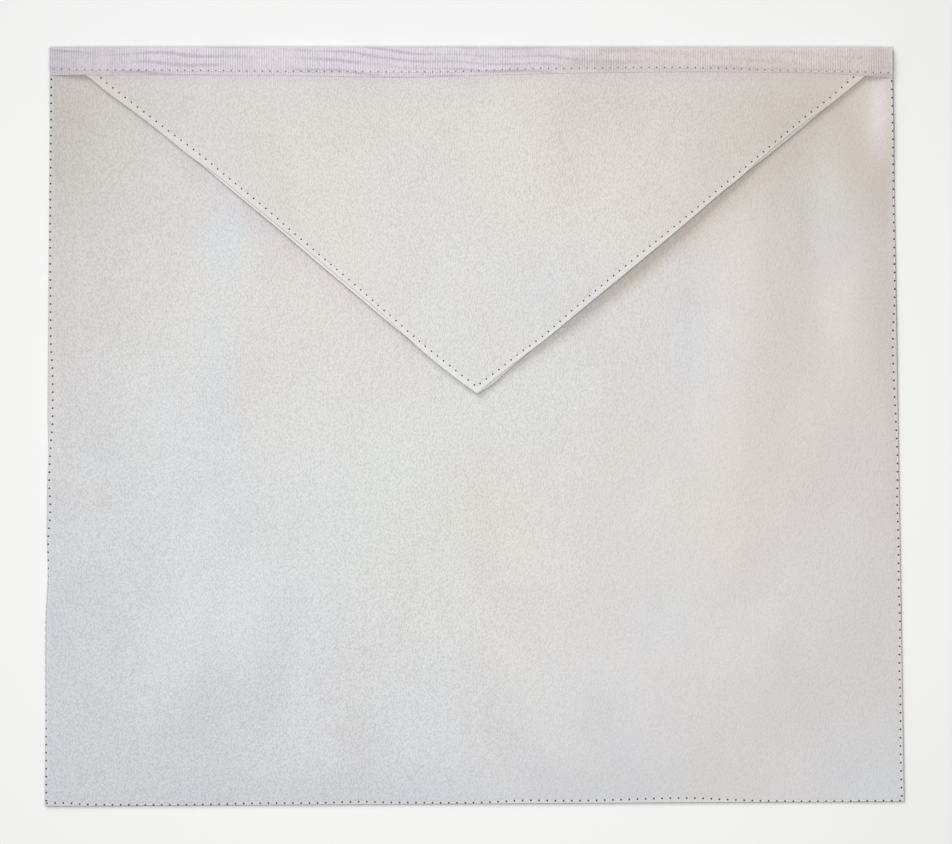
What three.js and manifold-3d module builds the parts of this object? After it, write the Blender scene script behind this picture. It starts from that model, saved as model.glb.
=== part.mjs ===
// A plain white leather lodge apron that lies flat: one leather panel, a two-ply triangular flap
// that hangs over its front, and a ribbon folded over the waist edge that holds both.
import * as THREE from 'three';
import { mergeVertices } from 'three/addons/utils/BufferGeometryUtils.js';
import Module from 'manifold-3d';

const wasm = await Module();
wasm.setup();

// Panel, in millimetres
const WAIST_WIDTH = 402.5; // top edge
const HEM_FLARE = 8.5; // how much wider the bottom edge is
const WAIST_SHIFT = -1.6; // middle of the waist edge, from the middle of the hem
const LENGTH = 363; // waist edge to the left end of the hem
const HEM_SLANT = 2.3; // how much higher the hem's right end lies
const SIDE_DENT = 0.7; // deepest dip of the left side
const LEATHER = 1.2;

// Flap
const FLAP_DROP = 165.7; // waist edge to the point
const POINT_SHIFT = 1.2; // the point, from the middle of the hem
const CORNER_INSET_LEFT = 16.4; // side of the panel to the flap's corner at the ribbon
const CORNER_INSET_RIGHT = 11.9;
const FLAP_BOW = 2.9; // most that the cut edges bow in
const LINING = 1; // second ply of the flap
const LINING_SHOW = 1.5; // most that the second ply stands out beyond the face
const FLAP_LIFT = 2.4; // highest that the flap stands off the panel

// Ribbon
const RIBBON = 1;
const RIBBON_FRONT = 13.4; // visible width
const RIBBON_BACK = 15.4; // width of the hidden leaf
const FOLD_ROUND = 1.8; // depth of the fold's round at the waist edge
const STEP_RUN = 7; // length over which the front leaf drops off the flap's corners

// Drape
const CLEARANCE = 0.3; // between plies
const RIDGE_RISE = 2.8; // highest soft fold in the panel
const LIE_DOWN = 26; // length over which the panel comes down below the ribbon
const CELL = 13; // spacing of the points that carry the folds

// Dips in the panel's left side: place and half length down it, and depth of the deepest dip.
const SIDE_DIPS = [
  { down: 0.535, reach: 0.05, depth: 0.85 },
  { down: 0.7, reach: 0.06, depth: 1 },
];

// Soft folds of the panel. Across is from the middle to a side, down is from waist to hem. Reach is
// half a fold's length and breadth half its width, as shares of the length and of the hem's width.
// Turn swings its lower end to the right, in degrees. Rise is a share of the highest one.
const PANEL_FOLDS = [
  { across: -0.53, down: 0.26, reach: 0.24, breadth: 0.07, turn: 4, rise: 0.8 },
  { across: -0.68, down: 0.52, reach: 0.09, breadth: 0.05, turn: 18, rise: 0.45 },
  { across: -0.6, down: 0.64, reach: 0.13, breadth: 0.06, turn: 0, rise: 0.4 },
  { across: -0.66, down: 0.81, reach: 0.12, breadth: 0.06, turn: -4, rise: 0.75 },
  { across: -0.51, down: 0.79, reach: 0.15, breadth: 0.055, turn: -8, rise: 0.85 },
  { across: 0.64, down: 0.36, reach: 0.24, breadth: 0.07, turn: -3, rise: 0.9 },
  { across: 0.89, down: 0.3, reach: 0.26, breadth: 0.05, turn: 2, rise: 1 },
  { across: 0.68, down: 0.83, reach: 0.11, breadth: 0.06, turn: 20, rise: 0.5 },
  { across: -0.1, down: 0.58, reach: 0.16, breadth: 0.1, turn: 5, rise: 0.35 },
];

// How far the flap stands off the panel, in the same terms, down being from waist edge to point
// and reach a share of that length.
const FLAP_FOLDS = [
  { across: 0.38, down: 0.62, reach: 0.6, breadth: 0.12, turn: -51, rise: 1 },
  { across: -0.42, down: 0.55, reach: 0.42, breadth: 0.09, turn: 51, rise: 0.45 },
  { across: -0.14, down: 0.84, reach: 0.4, breadth: 0.09, turn: 51, rise: 0.55 },
  { across: 0.12, down: 0.36, reach: 0.34, breadth: 0.075, turn: 20, rise: 0.8 },
  { across: -0.22, down: 0.3, reach: 0.26, breadth: 0.08, turn: 18, rise: 0.6 },
];

// Bow of the flap's cut edges from corner to point, and how far the lining shows beyond the face.
const LEFT_EDGE = [
  { along: 0, bow: 0.16, show: 0 },
  { along: 0.06, bow: 0.17, show: 0 },
  { along: 0.12, bow: 0.43, show: 0 },
  { along: 0.18, bow: 0.58, show: 0 },
  { along: 0.27, bow: 0.62, show: 0 },
  { along: 0.33, bow: 0.98, show: 0.8 },
  { along: 0.42, bow: 0.88, show: 0.8 },
  { along: 0.5, bow: 0.92, show: 1 },
  { along: 0.6, bow: 0.68, show: 1 },
  { along: 0.7, bow: 0.57, show: 1 },
  { along: 0.76, bow: 0.38, show: 0.9 },
  { along: 0.83, bow: -0.1, show: 0.1 },
  { along: 0.96, bow: -0.18, show: 0 },
  { along: 1, bow: 0, show: 0.1 },
];
const RIGHT_EDGE = [
  { along: 0, bow: 0.1, show: 0 },
  { along: 0.1, bow: 0.14, show: 0 },
  { along: 0.16, bow: 0.51, show: 0.9 },
  { along: 0.22, bow: 0.56, show: 1 },
  { along: 0.27, bow: 0.47, show: 0.75 },
  { along: 0.32, bow: 0.18, show: 0 },
  { along: 0.37, bow: 0.23, show: 0 },
  { along: 0.43, bow: 0.08, show: 0 },
  { along: 0.55, bow: -0.08, show: 0 },
  { along: 0.7, bow: -0.13, show: 0 },
  { along: 0.86, bow: -0.12, show: 0 },
  { along: 0.91, bow: 0.07, show: 0.6 },
  { along: 0.97, bow: 0.1, show: 1 },
  { along: 1, bow: 0, show: 0.2 },
];

// Width of the ribbon's front leaf from its left end to its right, as shares of its named width.
const RIBBON_WIDTHS = [
  { along: 0, width: 1 },
  { along: 0.3, width: 1.03 },
  { along: 0.43, width: 1.09 },
  { along: 0.53, width: 1 },
  { along: 0.62, width: 0.94 },
  { along: 0.82, width: 0.9 },
  { along: 0.94, width: 0.98 },
  { along: 1, width: 1.1 },
];

const EDGE_STEPS = 26; // straight runs along each cut edge of the flap
const FOLD_STEPS = 6; // straight runs round the ribbon's fold
const RIBBON_STEPS = 34; // lengths of the ribbon between its two end steps

// The plies' top edges lie in the fold, clear of its round.
const plyTop = -(FOLD_ROUND + CLEARANCE);
const widestFront = RIBBON_FRONT * Math.max(...RIBBON_WIDTHS.map((row) => row.width));
const tuckDepth = Math.max(RIBBON_BACK, widestFront) + CLEARANCE;

const hemWidth = WAIST_WIDTH + HEM_FLARE;
const waistLeft = WAIST_SHIFT - WAIST_WIDTH / 2;
const waistRight = WAIST_SHIFT + WAIST_WIDTH / 2;
const cornerLeft = new THREE.Vector2(waistLeft + CORNER_INSET_LEFT, -RIBBON_FRONT);
const cornerRight = new THREE.Vector2(waistRight - CORNER_INSET_RIGHT, -RIBBON_FRONT);
const point = new THREE.Vector2(POINT_SHIFT, -FLAP_DROP);

const bump = (share) => (Math.abs(share) < 1 ? (1 - share * share) ** 2 : 0);

// Height that a table of folds adds at a place.
function foldHeight(folds, drop, highest, x, y) {
  return folds.reduce((height, fold) => {
    const turn = THREE.MathUtils.degToRad(fold.turn);
    const dx = x - (fold.across * hemWidth) / 2;
    const dy = -y - fold.down * drop;
    const along = dy * Math.cos(turn) + dx * Math.sin(turn);
    const aside = dx * Math.cos(turn) - dy * Math.sin(turn);
    const share = bump(along / (fold.reach * drop)) * bump(aside / (fold.breadth * hemWidth));
    return height + fold.rise * highest * share;
  }, 0);
}

// 0 down to the lower edge of the tucked plies, then up to 1.
const clearOfRibbon = (y) => THREE.MathUtils.smoothstep(-y, tuckDepth, tuckDepth + LIE_DOWN);

function panelUnderside(x, y) {
  const free = clearOfRibbon(y);
  const tucked = RIBBON + CLEARANCE;
  return tucked * (1 - free) + foldHeight(PANEL_FOLDS, LENGTH, RIDGE_RISE, x, y) * free;
}

function liningUnderside(x, y) {
  const lift = foldHeight(FLAP_FOLDS, FLAP_DROP, FLAP_LIFT, x, y) * clearOfRibbon(y);
  return panelUnderside(x, y) + LEATHER + CLEARANCE + lift;
}

const faceUnderside = (x, y) => liningUnderside(x, y) + LINING + CLEARANCE;

// Evenly spaced stops, with a whole number of cells between two ends.
function stops(from, to) {
  const count = Math.ceil(Math.abs(to - from) / CELL);
  return Array.from({ length: count + 1 }, (_, i) => from + ((to - from) * i) / count);
}

// Every ply carries its folds on the same columns and rows, so that plies never cut each other.
const overhang = CELL / 2;
const halfSpan = Math.max(hemWidth / 2, -waistLeft, waistRight) + overhang;
const columns = stops(-halfSpan, halfSpan);
const rows = [overhang, ...stops(-tuckDepth, -LENGTH - overhang)];

function solidFrom(geometry) {
  const bare = new THREE.BufferGeometry();
  bare.setAttribute('position', geometry.getAttribute('position'));
  if (geometry.index) bare.setIndex(geometry.index);
  const merged = mergeVertices(bare, 1e-5);
  const mesh = new wasm.Mesh({
    numProp: 3,
    vertProperties: merged.getAttribute('position').array,
    triVerts: new Uint32Array(merged.index.array),
  });
  return new wasm.Manifold(mesh);
}

function geometryFrom(solid) {
  const mesh = solid.getMesh();
  const geometry = new THREE.BufferGeometry();
  geometry.setAttribute('position', new THREE.BufferAttribute(mesh.vertProperties, 3));
  geometry.setIndex(new THREE.BufferAttribute(mesh.triVerts, 1));
  return geometry;
}

// Two triangles over four corners, which are given anticlockwise as seen from outside.
function quad(index, a, b, c, d) {
  index.push(a, b, c, a, c, d);
}

// A closed sheet of even thickness over the whole lattice, on a given underside.
function latticeSheet(underside, thickness) {
  const position = [];
  const index = [];
  const across = columns.length;
  const layer = across * rows.length;
  for (const lift of [0, thickness]) {
    for (const y of rows) {
      for (const x of columns) position.push(x, y, underside(x, y) + lift);
    }
  }
  for (let r = 0; r < rows.length - 1; r += 1) {
    for (let c = 0; c < across - 1; c += 1) {
      const a = r * across + c;
      quad(index, a, a + 1, a + across + 1, a + across);
      quad(index, layer + a, layer + a + across, layer + a + across + 1, layer + a + 1);
    }
  }
  const top = Array.from({ length: across }, (_, c) => c);
  const right = rows.slice(1).map((_, r) => (r + 2) * across - 1);
  const bottom = top.slice(0, -1).map((c) => layer - 2 - c);
  const left = rows.slice(1, -1).map((_, r) => (rows.length - 2 - r) * across);
  const rim = [...top, ...right, ...bottom, ...left];
  rim.forEach((from, i) => {
    const to = rim[(i + 1) % rim.length];
    quad(index, to, from, layer + from, layer + to);
  });
  const geometry = new THREE.BufferGeometry();
  geometry.setAttribute('position', new THREE.Float32BufferAttribute(position, 3));
  geometry.setIndex(index);
  return geometry;
}

// A ply: the draped sheet, cut to its outline.
function ply(outline, underside, thickness) {
  const depth = 4 * (RIDGE_RISE + FLAP_LIFT + LEATHER + LINING + RIBBON);
  const cutter = new THREE.ExtrudeGeometry(new THREE.Shape(outline), { depth, bevelEnabled: false });
  cutter.translate(0, 0, -LEATHER);
  const sheet = solidFrom(latticeSheet(underside, thickness));
  return geometryFrom(sheet.intersect(solidFrom(cutter)));
}

function panelOutline() {
  const foot = new THREE.Vector2(-hemWidth / 2, -LENGTH);
  const head = new THREE.Vector2(waistLeft, 0);
  const sideAt = (down) => {
    const dip = SIDE_DIPS.reduce((sum, row) => sum + row.depth * bump((down - row.down) / row.reach), 0);
    return new THREE.Vector2().lerpVectors(head, foot, down).setX(
      THREE.MathUtils.lerp(head.x, foot.x, down) + SIDE_DENT * dip);
  };
  const dips = SIDE_DIPS.flatMap((row) => [-1, -0.5, 0, 0.5, 1].map((t) => row.down + t * row.reach));
  return [
    new THREE.Vector2(waistRight, plyTop),
    sideAt(-plyTop / LENGTH),
    ...dips.map(sideAt),
    foot,
    new THREE.Vector2(hemWidth / 2, HEM_SLANT - LENGTH),
  ];
}

// One cut edge of the flap, from its corner at the ribbon to the point. Inward is the side to
// which it bows, and shown is how much of the lining's margin is added.
function cutEdge(corner, table, inward, shown) {
  const run = new THREE.Vector2().subVectors(point, corner);
  const aside = new THREE.Vector2(-run.y, run.x).normalize().multiplyScalar(inward);
  const knots = table.map((row) => {
    const offset = FLAP_BOW * row.bow - shown * LINING_SHOW * row.show;
    return new THREE.Vector2().copy(corner).addScaledVector(run, row.along).addScaledVector(aside, offset);
  });
  return new THREE.SplineCurve(knots).getPoints(EDGE_STEPS);
}

function flapOutline(shown) {
  const left = cutEdge(cornerLeft, LEFT_EDGE, 1, shown);
  const right = cutEdge(cornerRight, RIGHT_EDGE, -1, shown);
  const tip = new THREE.Vector2().addVectors(left.at(-1), right.at(-1)).multiplyScalar(0.5);
  return [
    new THREE.Vector2(cornerRight.x, plyTop),
    new THREE.Vector2(cornerLeft.x, plyTop),
    ...left.slice(0, -1),
    tip.setY(Math.min(left.at(-1).y, right.at(-1).y)),
    ...right.slice(0, -1).reverse(),
  ];
}

// Value of a table's column at a share of the way along, between the two rows beside it.
function tableAt(table, column, share) {
  const along = THREE.MathUtils.clamp(share, 0, 1);
  const next = Math.max(1, table.findIndex((row) => row.along >= along));
  const [a, b] = [table[next - 1], table[next]];
  return THREE.MathUtils.mapLinear(along, a.along, b.along, a[column], b[column]);
}

// Where the front leaf drops off the flap: from beside a corner, outwards, within the ribbon.
const stepLeft = Math.min(STEP_RUN, CORNER_INSET_LEFT - 2 * CLEARANCE);
const stepRight = Math.min(STEP_RUN, CORNER_INSET_RIGHT - 2 * CLEARANCE);

// The ribbon's section at one place: a U that opens towards the hem, outer line first.
function ribbonSection(x) {
  const onFlap = Math.min(
    THREE.MathUtils.smoothstep(x, cornerLeft.x - CLEARANCE - stepLeft, cornerLeft.x - CLEARANCE),
    1 - THREE.MathUtils.smoothstep(x, cornerRight.x + CLEARANCE, cornerRight.x + CLEARANCE + stepRight),
  );
  const flapPlies = LINING + LEATHER + 2 * CLEARANCE;
  const height = 2 * RIBBON + LEATHER + 2 * CLEARANCE + flapPlies * onFlap;
  const width = RIBBON_FRONT * tableAt(RIBBON_WIDTHS, 'width', (x - waistLeft) / WAIST_WIDTH);
  const round = (inset) => Array.from({ length: FOLD_STEPS + 1 }, (_, i) => {
    const angle = (Math.PI * i) / FOLD_STEPS - Math.PI / 2;
    return [
      -FOLD_ROUND + (FOLD_ROUND - inset) * Math.cos(angle),
      height / 2 + (height / 2 - inset) * Math.sin(angle),
    ];
  });
  const outer = [[-RIBBON_BACK, 0], ...round(0), [-width, height]];
  const inner = [[-RIBBON_BACK, RIBBON], ...round(RIBBON), [-width, height - RIBBON]];
  return [...outer, ...inner.reverse()];
}

function ribbonGeometry() {
  const shares = [0, 0.25, 0.5, 0.75, 1];
  const middle = Array.from({ length: RIBBON_STEPS - 1 }, (_, i) => (
    THREE.MathUtils.lerp(cornerLeft.x, cornerRight.x, (i + 1) / RIBBON_STEPS)));
  const places = [
    waistLeft,
    ...shares.map((share) => cornerLeft.x - CLEARANCE - share * stepLeft).reverse(),
    ...middle,
    ...shares.map((share) => cornerRight.x + CLEARANCE + share * stepRight),
    waistRight,
  ];
  const sections = places.map(ribbonSection);
  const ring = sections[0].length;
  const position = sections.flatMap((section, s) => section.flatMap(([y, z]) => [places[s], y, z]));
  const index = [];
  for (let s = 0; s < places.length - 1; s += 1) {
    for (let i = 0; i < ring; i += 1) {
      const j = (i + 1) % ring;
      quad(index, s * ring + i, s * ring + j, (s + 1) * ring + j, (s + 1) * ring + i);
    }
  }
  const last = (places.length - 1) * ring;
  for (let i = 0; i < ring / 2 - 1; i += 1) {
    const j = ring - 1 - i;
    quad(index, i, j, j - 1, i + 1);
    quad(index, last + i, last + i + 1, last + j - 1, last + j);
  }
  const geometry = new THREE.BufferGeometry();
  geometry.setAttribute('position', new THREE.Float32BufferAttribute(position, 3));
  geometry.setIndex(index);
  return geometry;
}

const leather = new THREE.MeshStandardMaterial({ color: 0xe6e3df, roughness: 0.6, metalness: 0 });
const lining = new THREE.MeshStandardMaterial({ color: 0xe9e6e4, roughness: 0.75, metalness: 0 });
const ribbon = new THREE.MeshStandardMaterial({ color: 0xdcd6de, roughness: 0.5, metalness: 0 });

const apron = new THREE.Group();

function addPiece(name, geometry, material) {
  const mesh = new THREE.Mesh(geometry, material);
  mesh.name = name;
  apron.add(mesh);
}

addPiece('apron_panel', ply(panelOutline(), panelUnderside, LEATHER), leather);
addPiece('flap_lining', ply(flapOutline(1), liningUnderside, LINING), lining);
addPiece('flap_face', ply(flapOutline(0), faceUnderside, LEATHER), leather);
addPiece('waist_ribbon', ribbonGeometry(), ribbon);

// The origin is on the surface, under the middle of the whole outline.
const leftmost = Math.min(-hemWidth / 2, waistLeft);
const rightmost = Math.max(hemWidth / 2, waistRight);
apron.position.set(-(leftmost + rightmost) / 2, LENGTH / 2, 0);

export default apron;
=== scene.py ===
"""A plain white leather lodge apron that lies flat, dressed around its packed frame.

The panel, the flap's two plies, the ribbon, the stitches and the stage each have an operator.
Lengths are in metres, and tables hold shares of named sizes, unless a comment says otherwise.
"""
import math

import bpy
import numpy as np
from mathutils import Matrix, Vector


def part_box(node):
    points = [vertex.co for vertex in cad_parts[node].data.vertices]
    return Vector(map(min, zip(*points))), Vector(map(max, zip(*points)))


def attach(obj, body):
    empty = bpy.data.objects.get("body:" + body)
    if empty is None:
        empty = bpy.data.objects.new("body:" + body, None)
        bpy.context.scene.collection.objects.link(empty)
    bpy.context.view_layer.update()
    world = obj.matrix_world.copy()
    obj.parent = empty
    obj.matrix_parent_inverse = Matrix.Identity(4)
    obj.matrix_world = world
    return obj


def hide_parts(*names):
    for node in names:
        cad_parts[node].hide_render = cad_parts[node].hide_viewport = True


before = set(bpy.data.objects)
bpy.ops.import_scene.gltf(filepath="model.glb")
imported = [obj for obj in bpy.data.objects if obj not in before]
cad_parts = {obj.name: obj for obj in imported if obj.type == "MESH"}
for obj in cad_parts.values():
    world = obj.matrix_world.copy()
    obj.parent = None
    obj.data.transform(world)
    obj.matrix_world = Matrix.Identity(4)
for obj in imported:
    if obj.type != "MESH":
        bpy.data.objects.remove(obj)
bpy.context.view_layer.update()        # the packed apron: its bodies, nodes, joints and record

bl_info = {
    "name": "Lodge Apron",
    "version": (1, 0, 0),
    "blender": (4, 5, 0),
    "location": "3D View > Sidebar > Apron",
    "description": "Dresses a flat leather apron with grain, stitches and a watered ribbon",
    "category": "Add Mesh",
}

MM = 0.001
PANEL_LOW, PANEL_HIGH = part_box("apron_panel")
FACE_LOW, FACE_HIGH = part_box("flap_face")
RIBBON_LOW, RIBBON_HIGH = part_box("waist_ribbon")

# Sizes that the frame gives
WAIST = RIBBON_HIGH.y
HEM = PANEL_LOW.y
LENGTH = WAIST - HEM
HEM_WIDTH = PANEL_HIGH.x - PANEL_LOW.x
WAIST_WIDTH = RIBBON_HIGH.x - RIBBON_LOW.x
TUCKED_TOP = PANEL_HIGH.y
RIBBON_BACK = WAIST - RIBBON_LOW.y
FLAP_DROP = WAIST - FACE_LOW.y

# Plies as worn thin, each lying on the next
LEATHER = 1.1 * MM
LINING = 0.7 * MM
RIBBON = 0.9 * MM
PLY_GAP = 0.12 * MM

# Sizes that repeat the frame's own
CLEARANCE = 0.3 * MM
HEM_SLANT = 2.3 * MM  # how much higher the hem's right end lies
SIDE_DENT = 0.7 * MM
CORNER_INSET_LEFT = 16.4 * MM
CORNER_INSET_RIGHT = 11.9 * MM
POINT_SHIFT = 1.2 * MM
FLAP_BOW = 2.9 * MM
LINING_SHOW = 1.5 * MM
FLAP_LIFT = 2.4 * MM
RIDGE_RISE = 2.8 * MM
RIBBON_FRONT = 13.4 * MM
FOLD_ROUND = 1.8 * MM
LIE_DOWN = 26 * MM  # over which the panel comes down below the ribbon
TUCK_DEPTH = RIBBON_BACK + CLEARANCE

# Sizes of the slight unevenness of skin, and of creases on top of the folds
ROLLING_RISE = 0.28 * MM
CREASE_RISE = 0.4 * MM

# Waves that make up that unevenness: radians for each metre across and up, and a phase
ROLLING_WAVES = [
    {"across": 21, "up": 34, "phase": 0.3},
    {"across": -38, "up": 17, "phase": 1.9},
    {"across": 52, "up": -29, "phase": 4.1},
    {"across": 11, "up": 63, "phase": 2.6},
    {"across": -67, "up": -48, "phase": 5.2},
]
WAVE_SWAY = 2  # how far the waves wander, in radians
SWAYS_UP = 17  # and how often, in radians for each metre up

# Dents of the panel's left side, from waist to hem. Depth is a share of the deepest.
SIDE_DIPS = [
    {"down": 0.535, "reach": 0.05, "depth": 0.85},
    {"down": 0.7, "reach": 0.06, "depth": 1},
]

# Soft folds. Across is from the middle to a side, down is from waist to hem, or to the flap's
# point. Reach is half a fold's length and breadth half its width. Turn swings its lower end to
# the right, in degrees, and rise is a share of the highest fold.
PANEL_FOLDS = [
    {"across": -0.53, "down": 0.26, "reach": 0.24, "breadth": 0.07, "turn": 4, "rise": 0.8},
    {"across": -0.68, "down": 0.52, "reach": 0.09, "breadth": 0.05, "turn": 18, "rise": 0.45},
    {"across": -0.6, "down": 0.64, "reach": 0.13, "breadth": 0.06, "turn": 0, "rise": 0.4},
    {"across": -0.66, "down": 0.81, "reach": 0.12, "breadth": 0.06, "turn": -4, "rise": 0.75},
    {"across": -0.51, "down": 0.79, "reach": 0.15, "breadth": 0.055, "turn": -8, "rise": 0.85},
    {"across": 0.64, "down": 0.36, "reach": 0.24, "breadth": 0.07, "turn": -3, "rise": 0.9},
    {"across": 0.89, "down": 0.3, "reach": 0.26, "breadth": 0.05, "turn": 2, "rise": 1},
    {"across": 0.68, "down": 0.83, "reach": 0.11, "breadth": 0.06, "turn": 20, "rise": 0.5},
    {"across": -0.1, "down": 0.58, "reach": 0.16, "breadth": 0.1, "turn": 5, "rise": 0.35},
]
FLAP_FOLDS = [
    {"across": 0.38, "down": 0.62, "reach": 0.6, "breadth": 0.12, "turn": -51, "rise": 1},
    {"across": -0.42, "down": 0.55, "reach": 0.42, "breadth": 0.09, "turn": 51, "rise": 0.45},
    {"across": -0.14, "down": 0.84, "reach": 0.4, "breadth": 0.09, "turn": 51, "rise": 0.55},
    {"across": 0.12, "down": 0.36, "reach": 0.34, "breadth": 0.075, "turn": 20, "rise": 0.8},
    {"across": -0.22, "down": 0.3, "reach": 0.26, "breadth": 0.08, "turn": 18, "rise": 0.6},
]

# Slight creases on top of the folds, in the same terms.
PANEL_CREASES = [
    {"across": 0.985, "down": 0.1, "reach": 0.1, "breadth": 0.05, "turn": 0, "rise": 3},
    {"across": -0.77, "down": 0.375, "reach": 0.035, "breadth": 0.011, "turn": -38, "rise": 0.8},
    {"across": -0.73, "down": 0.4, "reach": 0.04, "breadth": 0.012, "turn": -40, "rise": -0.7},
    {"across": -0.7, "down": 0.43, "reach": 0.035, "breadth": 0.011, "turn": -36, "rise": 0.6},
    {"across": -0.83, "down": 0.56, "reach": 0.06, "breadth": 0.02, "turn": 24, "rise": -0.5},
    {"across": -0.45, "down": 0.22, "reach": 0.07, "breadth": 0.016, "turn": 15, "rise": 0.7},
    {"across": 0.72, "down": 0.2, "reach": 0.1, "breadth": 0.02, "turn": -6, "rise": -0.7},
    {"across": 0.6, "down": 0.68, "reach": 0.1, "breadth": 0.025, "turn": -14, "rise": 0.5},
    {"across": 0.3, "down": 0.78, "reach": 0.12, "breadth": 0.03, "turn": 9, "rise": -0.4},
    {"across": -0.3, "down": 0.88, "reach": 0.08, "breadth": 0.025, "turn": -20, "rise": 0.4},
]
FLAP_CREASES = [
    {"across": -0.06, "down": 0.2, "reach": 0.18, "breadth": 0.014, "turn": 22, "rise": -0.9},
    {"across": 0.02, "down": 0.44, "reach": 0.16, "breadth": 0.018, "turn": 12, "rise": -0.5},
    {"across": 0.43, "down": 0.24, "reach": 0.12, "breadth": 0.02, "turn": -16, "rise": 0.6},
    {"across": -0.52, "down": 0.2, "reach": 0.1, "breadth": 0.018, "turn": 20, "rise": 0.5},
]

# Bow of the flap's cut edges from corner to point, and how far the lining shows beyond the face.
LEFT_EDGE = [
    {"along": 0, "bow": 0.16, "show": 0},
    {"along": 0.06, "bow": 0.17, "show": 0},
    {"along": 0.12, "bow": 0.43, "show": 0},
    {"along": 0.18, "bow": 0.58, "show": 0},
    {"along": 0.27, "bow": 0.62, "show": 0},
    {"along": 0.33, "bow": 0.98, "show": 0.8},
    {"along": 0.42, "bow": 0.88, "show": 0.8},
    {"along": 0.5, "bow": 0.92, "show": 1},
    {"along": 0.6, "bow": 0.68, "show": 1},
    {"along": 0.7, "bow": 0.57, "show": 1},
    {"along": 0.76, "bow": 0.38, "show": 0.9},
    {"along": 0.83, "bow": -0.1, "show": 0.1},
    {"along": 0.96, "bow": -0.18, "show": 0},
    {"along": 1, "bow": 0, "show": 0.1},
]
RIGHT_EDGE = [
    {"along": 0, "bow": 0.1, "show": 0},
    {"along": 0.1, "bow": 0.14, "show": 0},
    {"along": 0.16, "bow": 0.51, "show": 0.9},
    {"along": 0.22, "bow": 0.56, "show": 1},
    {"along": 0.27, "bow": 0.47, "show": 0.75},
    {"along": 0.32, "bow": 0.18, "show": 0},
    {"along": 0.37, "bow": 0.23, "show": 0},
    {"along": 0.43, "bow": 0.08, "show": 0},
    {"along": 0.55, "bow": -0.08, "show": 0},
    {"along": 0.7, "bow": -0.13, "show": 0},
    {"along": 0.86, "bow": -0.12, "show": 0},
    {"along": 0.91, "bow": 0.07, "show": 0.6},
    {"along": 0.97, "bow": 0.1, "show": 1},
    {"along": 1, "bow": 0, "show": 0.2},
]

# Width of the ribbon's front leaf, and depth of its stitch row below the waist edge, both from
# its left end to its right and as shares of its named width.
RIBBON_WIDTHS = [
    {"along": 0, "width": 1},
    {"along": 0.3, "width": 1.03},
    {"along": 0.43, "width": 1.09},
    {"along": 0.53, "width": 1},
    {"along": 0.62, "width": 0.94},
    {"along": 0.82, "width": 0.9},
    {"along": 0.94, "width": 0.98},
    {"along": 1, "width": 1.1},
]
RIBBON_ROW = [
    {"along": 0, "depth": 0.8},
    {"along": 0.05, "depth": 0.835},
    {"along": 0.16, "depth": 0.86},
    {"along": 0.3, "depth": 0.895},
    {"along": 0.4, "depth": 0.91},
    {"along": 0.5, "depth": 0.885},
    {"along": 0.54, "depth": 0.82},
    {"along": 0.62, "depth": 0.785},
    {"along": 0.73, "depth": 0.755},
    {"along": 0.8, "depth": 0.79},
    {"along": 0.84, "depth": 0.84},
    {"along": 0.9, "depth": 0.89},
    {"along": 0.97, "depth": 0.92},
    {"along": 1, "depth": 0.93},
]

# How far the stitch rows lie inside the edges, in millimetres: down the panel's sides, along its
# hem from left to right, and down the flap's cut edges.
LEFT_ROW = [
    {"along": 0, "inset": 0.8},
    {"along": 0.1, "inset": 0.65},
    {"along": 0.27, "inset": 0.65},
    {"along": 0.345, "inset": 1.05},
    {"along": 0.39, "inset": 1.3},
    {"along": 0.42, "inset": 2.05},
    {"along": 0.47, "inset": 2.4},
    {"along": 0.5, "inset": 2.1},
    {"along": 0.52, "inset": 1.2},
    {"along": 0.545, "inset": 0.7},
    {"along": 0.57, "inset": 0.85},
    {"along": 0.605, "inset": 1.6},
    {"along": 0.65, "inset": 0.65},
    {"along": 1, "inset": 0.65},
]
RIGHT_ROW = [
    {"along": 0, "inset": 0.5},
    {"along": 0.25, "inset": 0.5},
    {"along": 0.34, "inset": 0.8},
    {"along": 0.38, "inset": 1.8},
    {"along": 0.46, "inset": 1.5},
    {"along": 0.5, "inset": 1},
    {"along": 0.56, "inset": 0.65},
    {"along": 0.6, "inset": 1.1},
    {"along": 0.66, "inset": 0.8},
    {"along": 0.71, "inset": 1},
    {"along": 0.765, "inset": 0.65},
    {"along": 0.82, "inset": 1.3},
    {"along": 0.86, "inset": 1.1},
    {"along": 0.93, "inset": 1.4},
    {"along": 1, "inset": 1.1},
]
HEM_ROW = [
    {"along": 0, "inset": 1.5},
    {"along": 0.025, "inset": 1.5},
    {"along": 0.045, "inset": 0.9},
    {"along": 0.07, "inset": 0.65},
    {"along": 0.21, "inset": 0.65},
    {"along": 0.24, "inset": 0.9},
    {"along": 0.33, "inset": 1},
    {"along": 0.36, "inset": 1.4},
    {"along": 0.41, "inset": 0.9},
    {"along": 0.53, "inset": 1.05},
    {"along": 0.55, "inset": 1.5},
    {"along": 0.61, "inset": 1.3},
    {"along": 0.67, "inset": 1.65},
    {"along": 0.7, "inset": 2},
    {"along": 0.77, "inset": 2},
    {"along": 0.79, "inset": 1.5},
    {"along": 0.83, "inset": 0.8},
    {"along": 0.86, "inset": 0.5},
    {"along": 1, "inset": 0.5},
]
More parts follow.
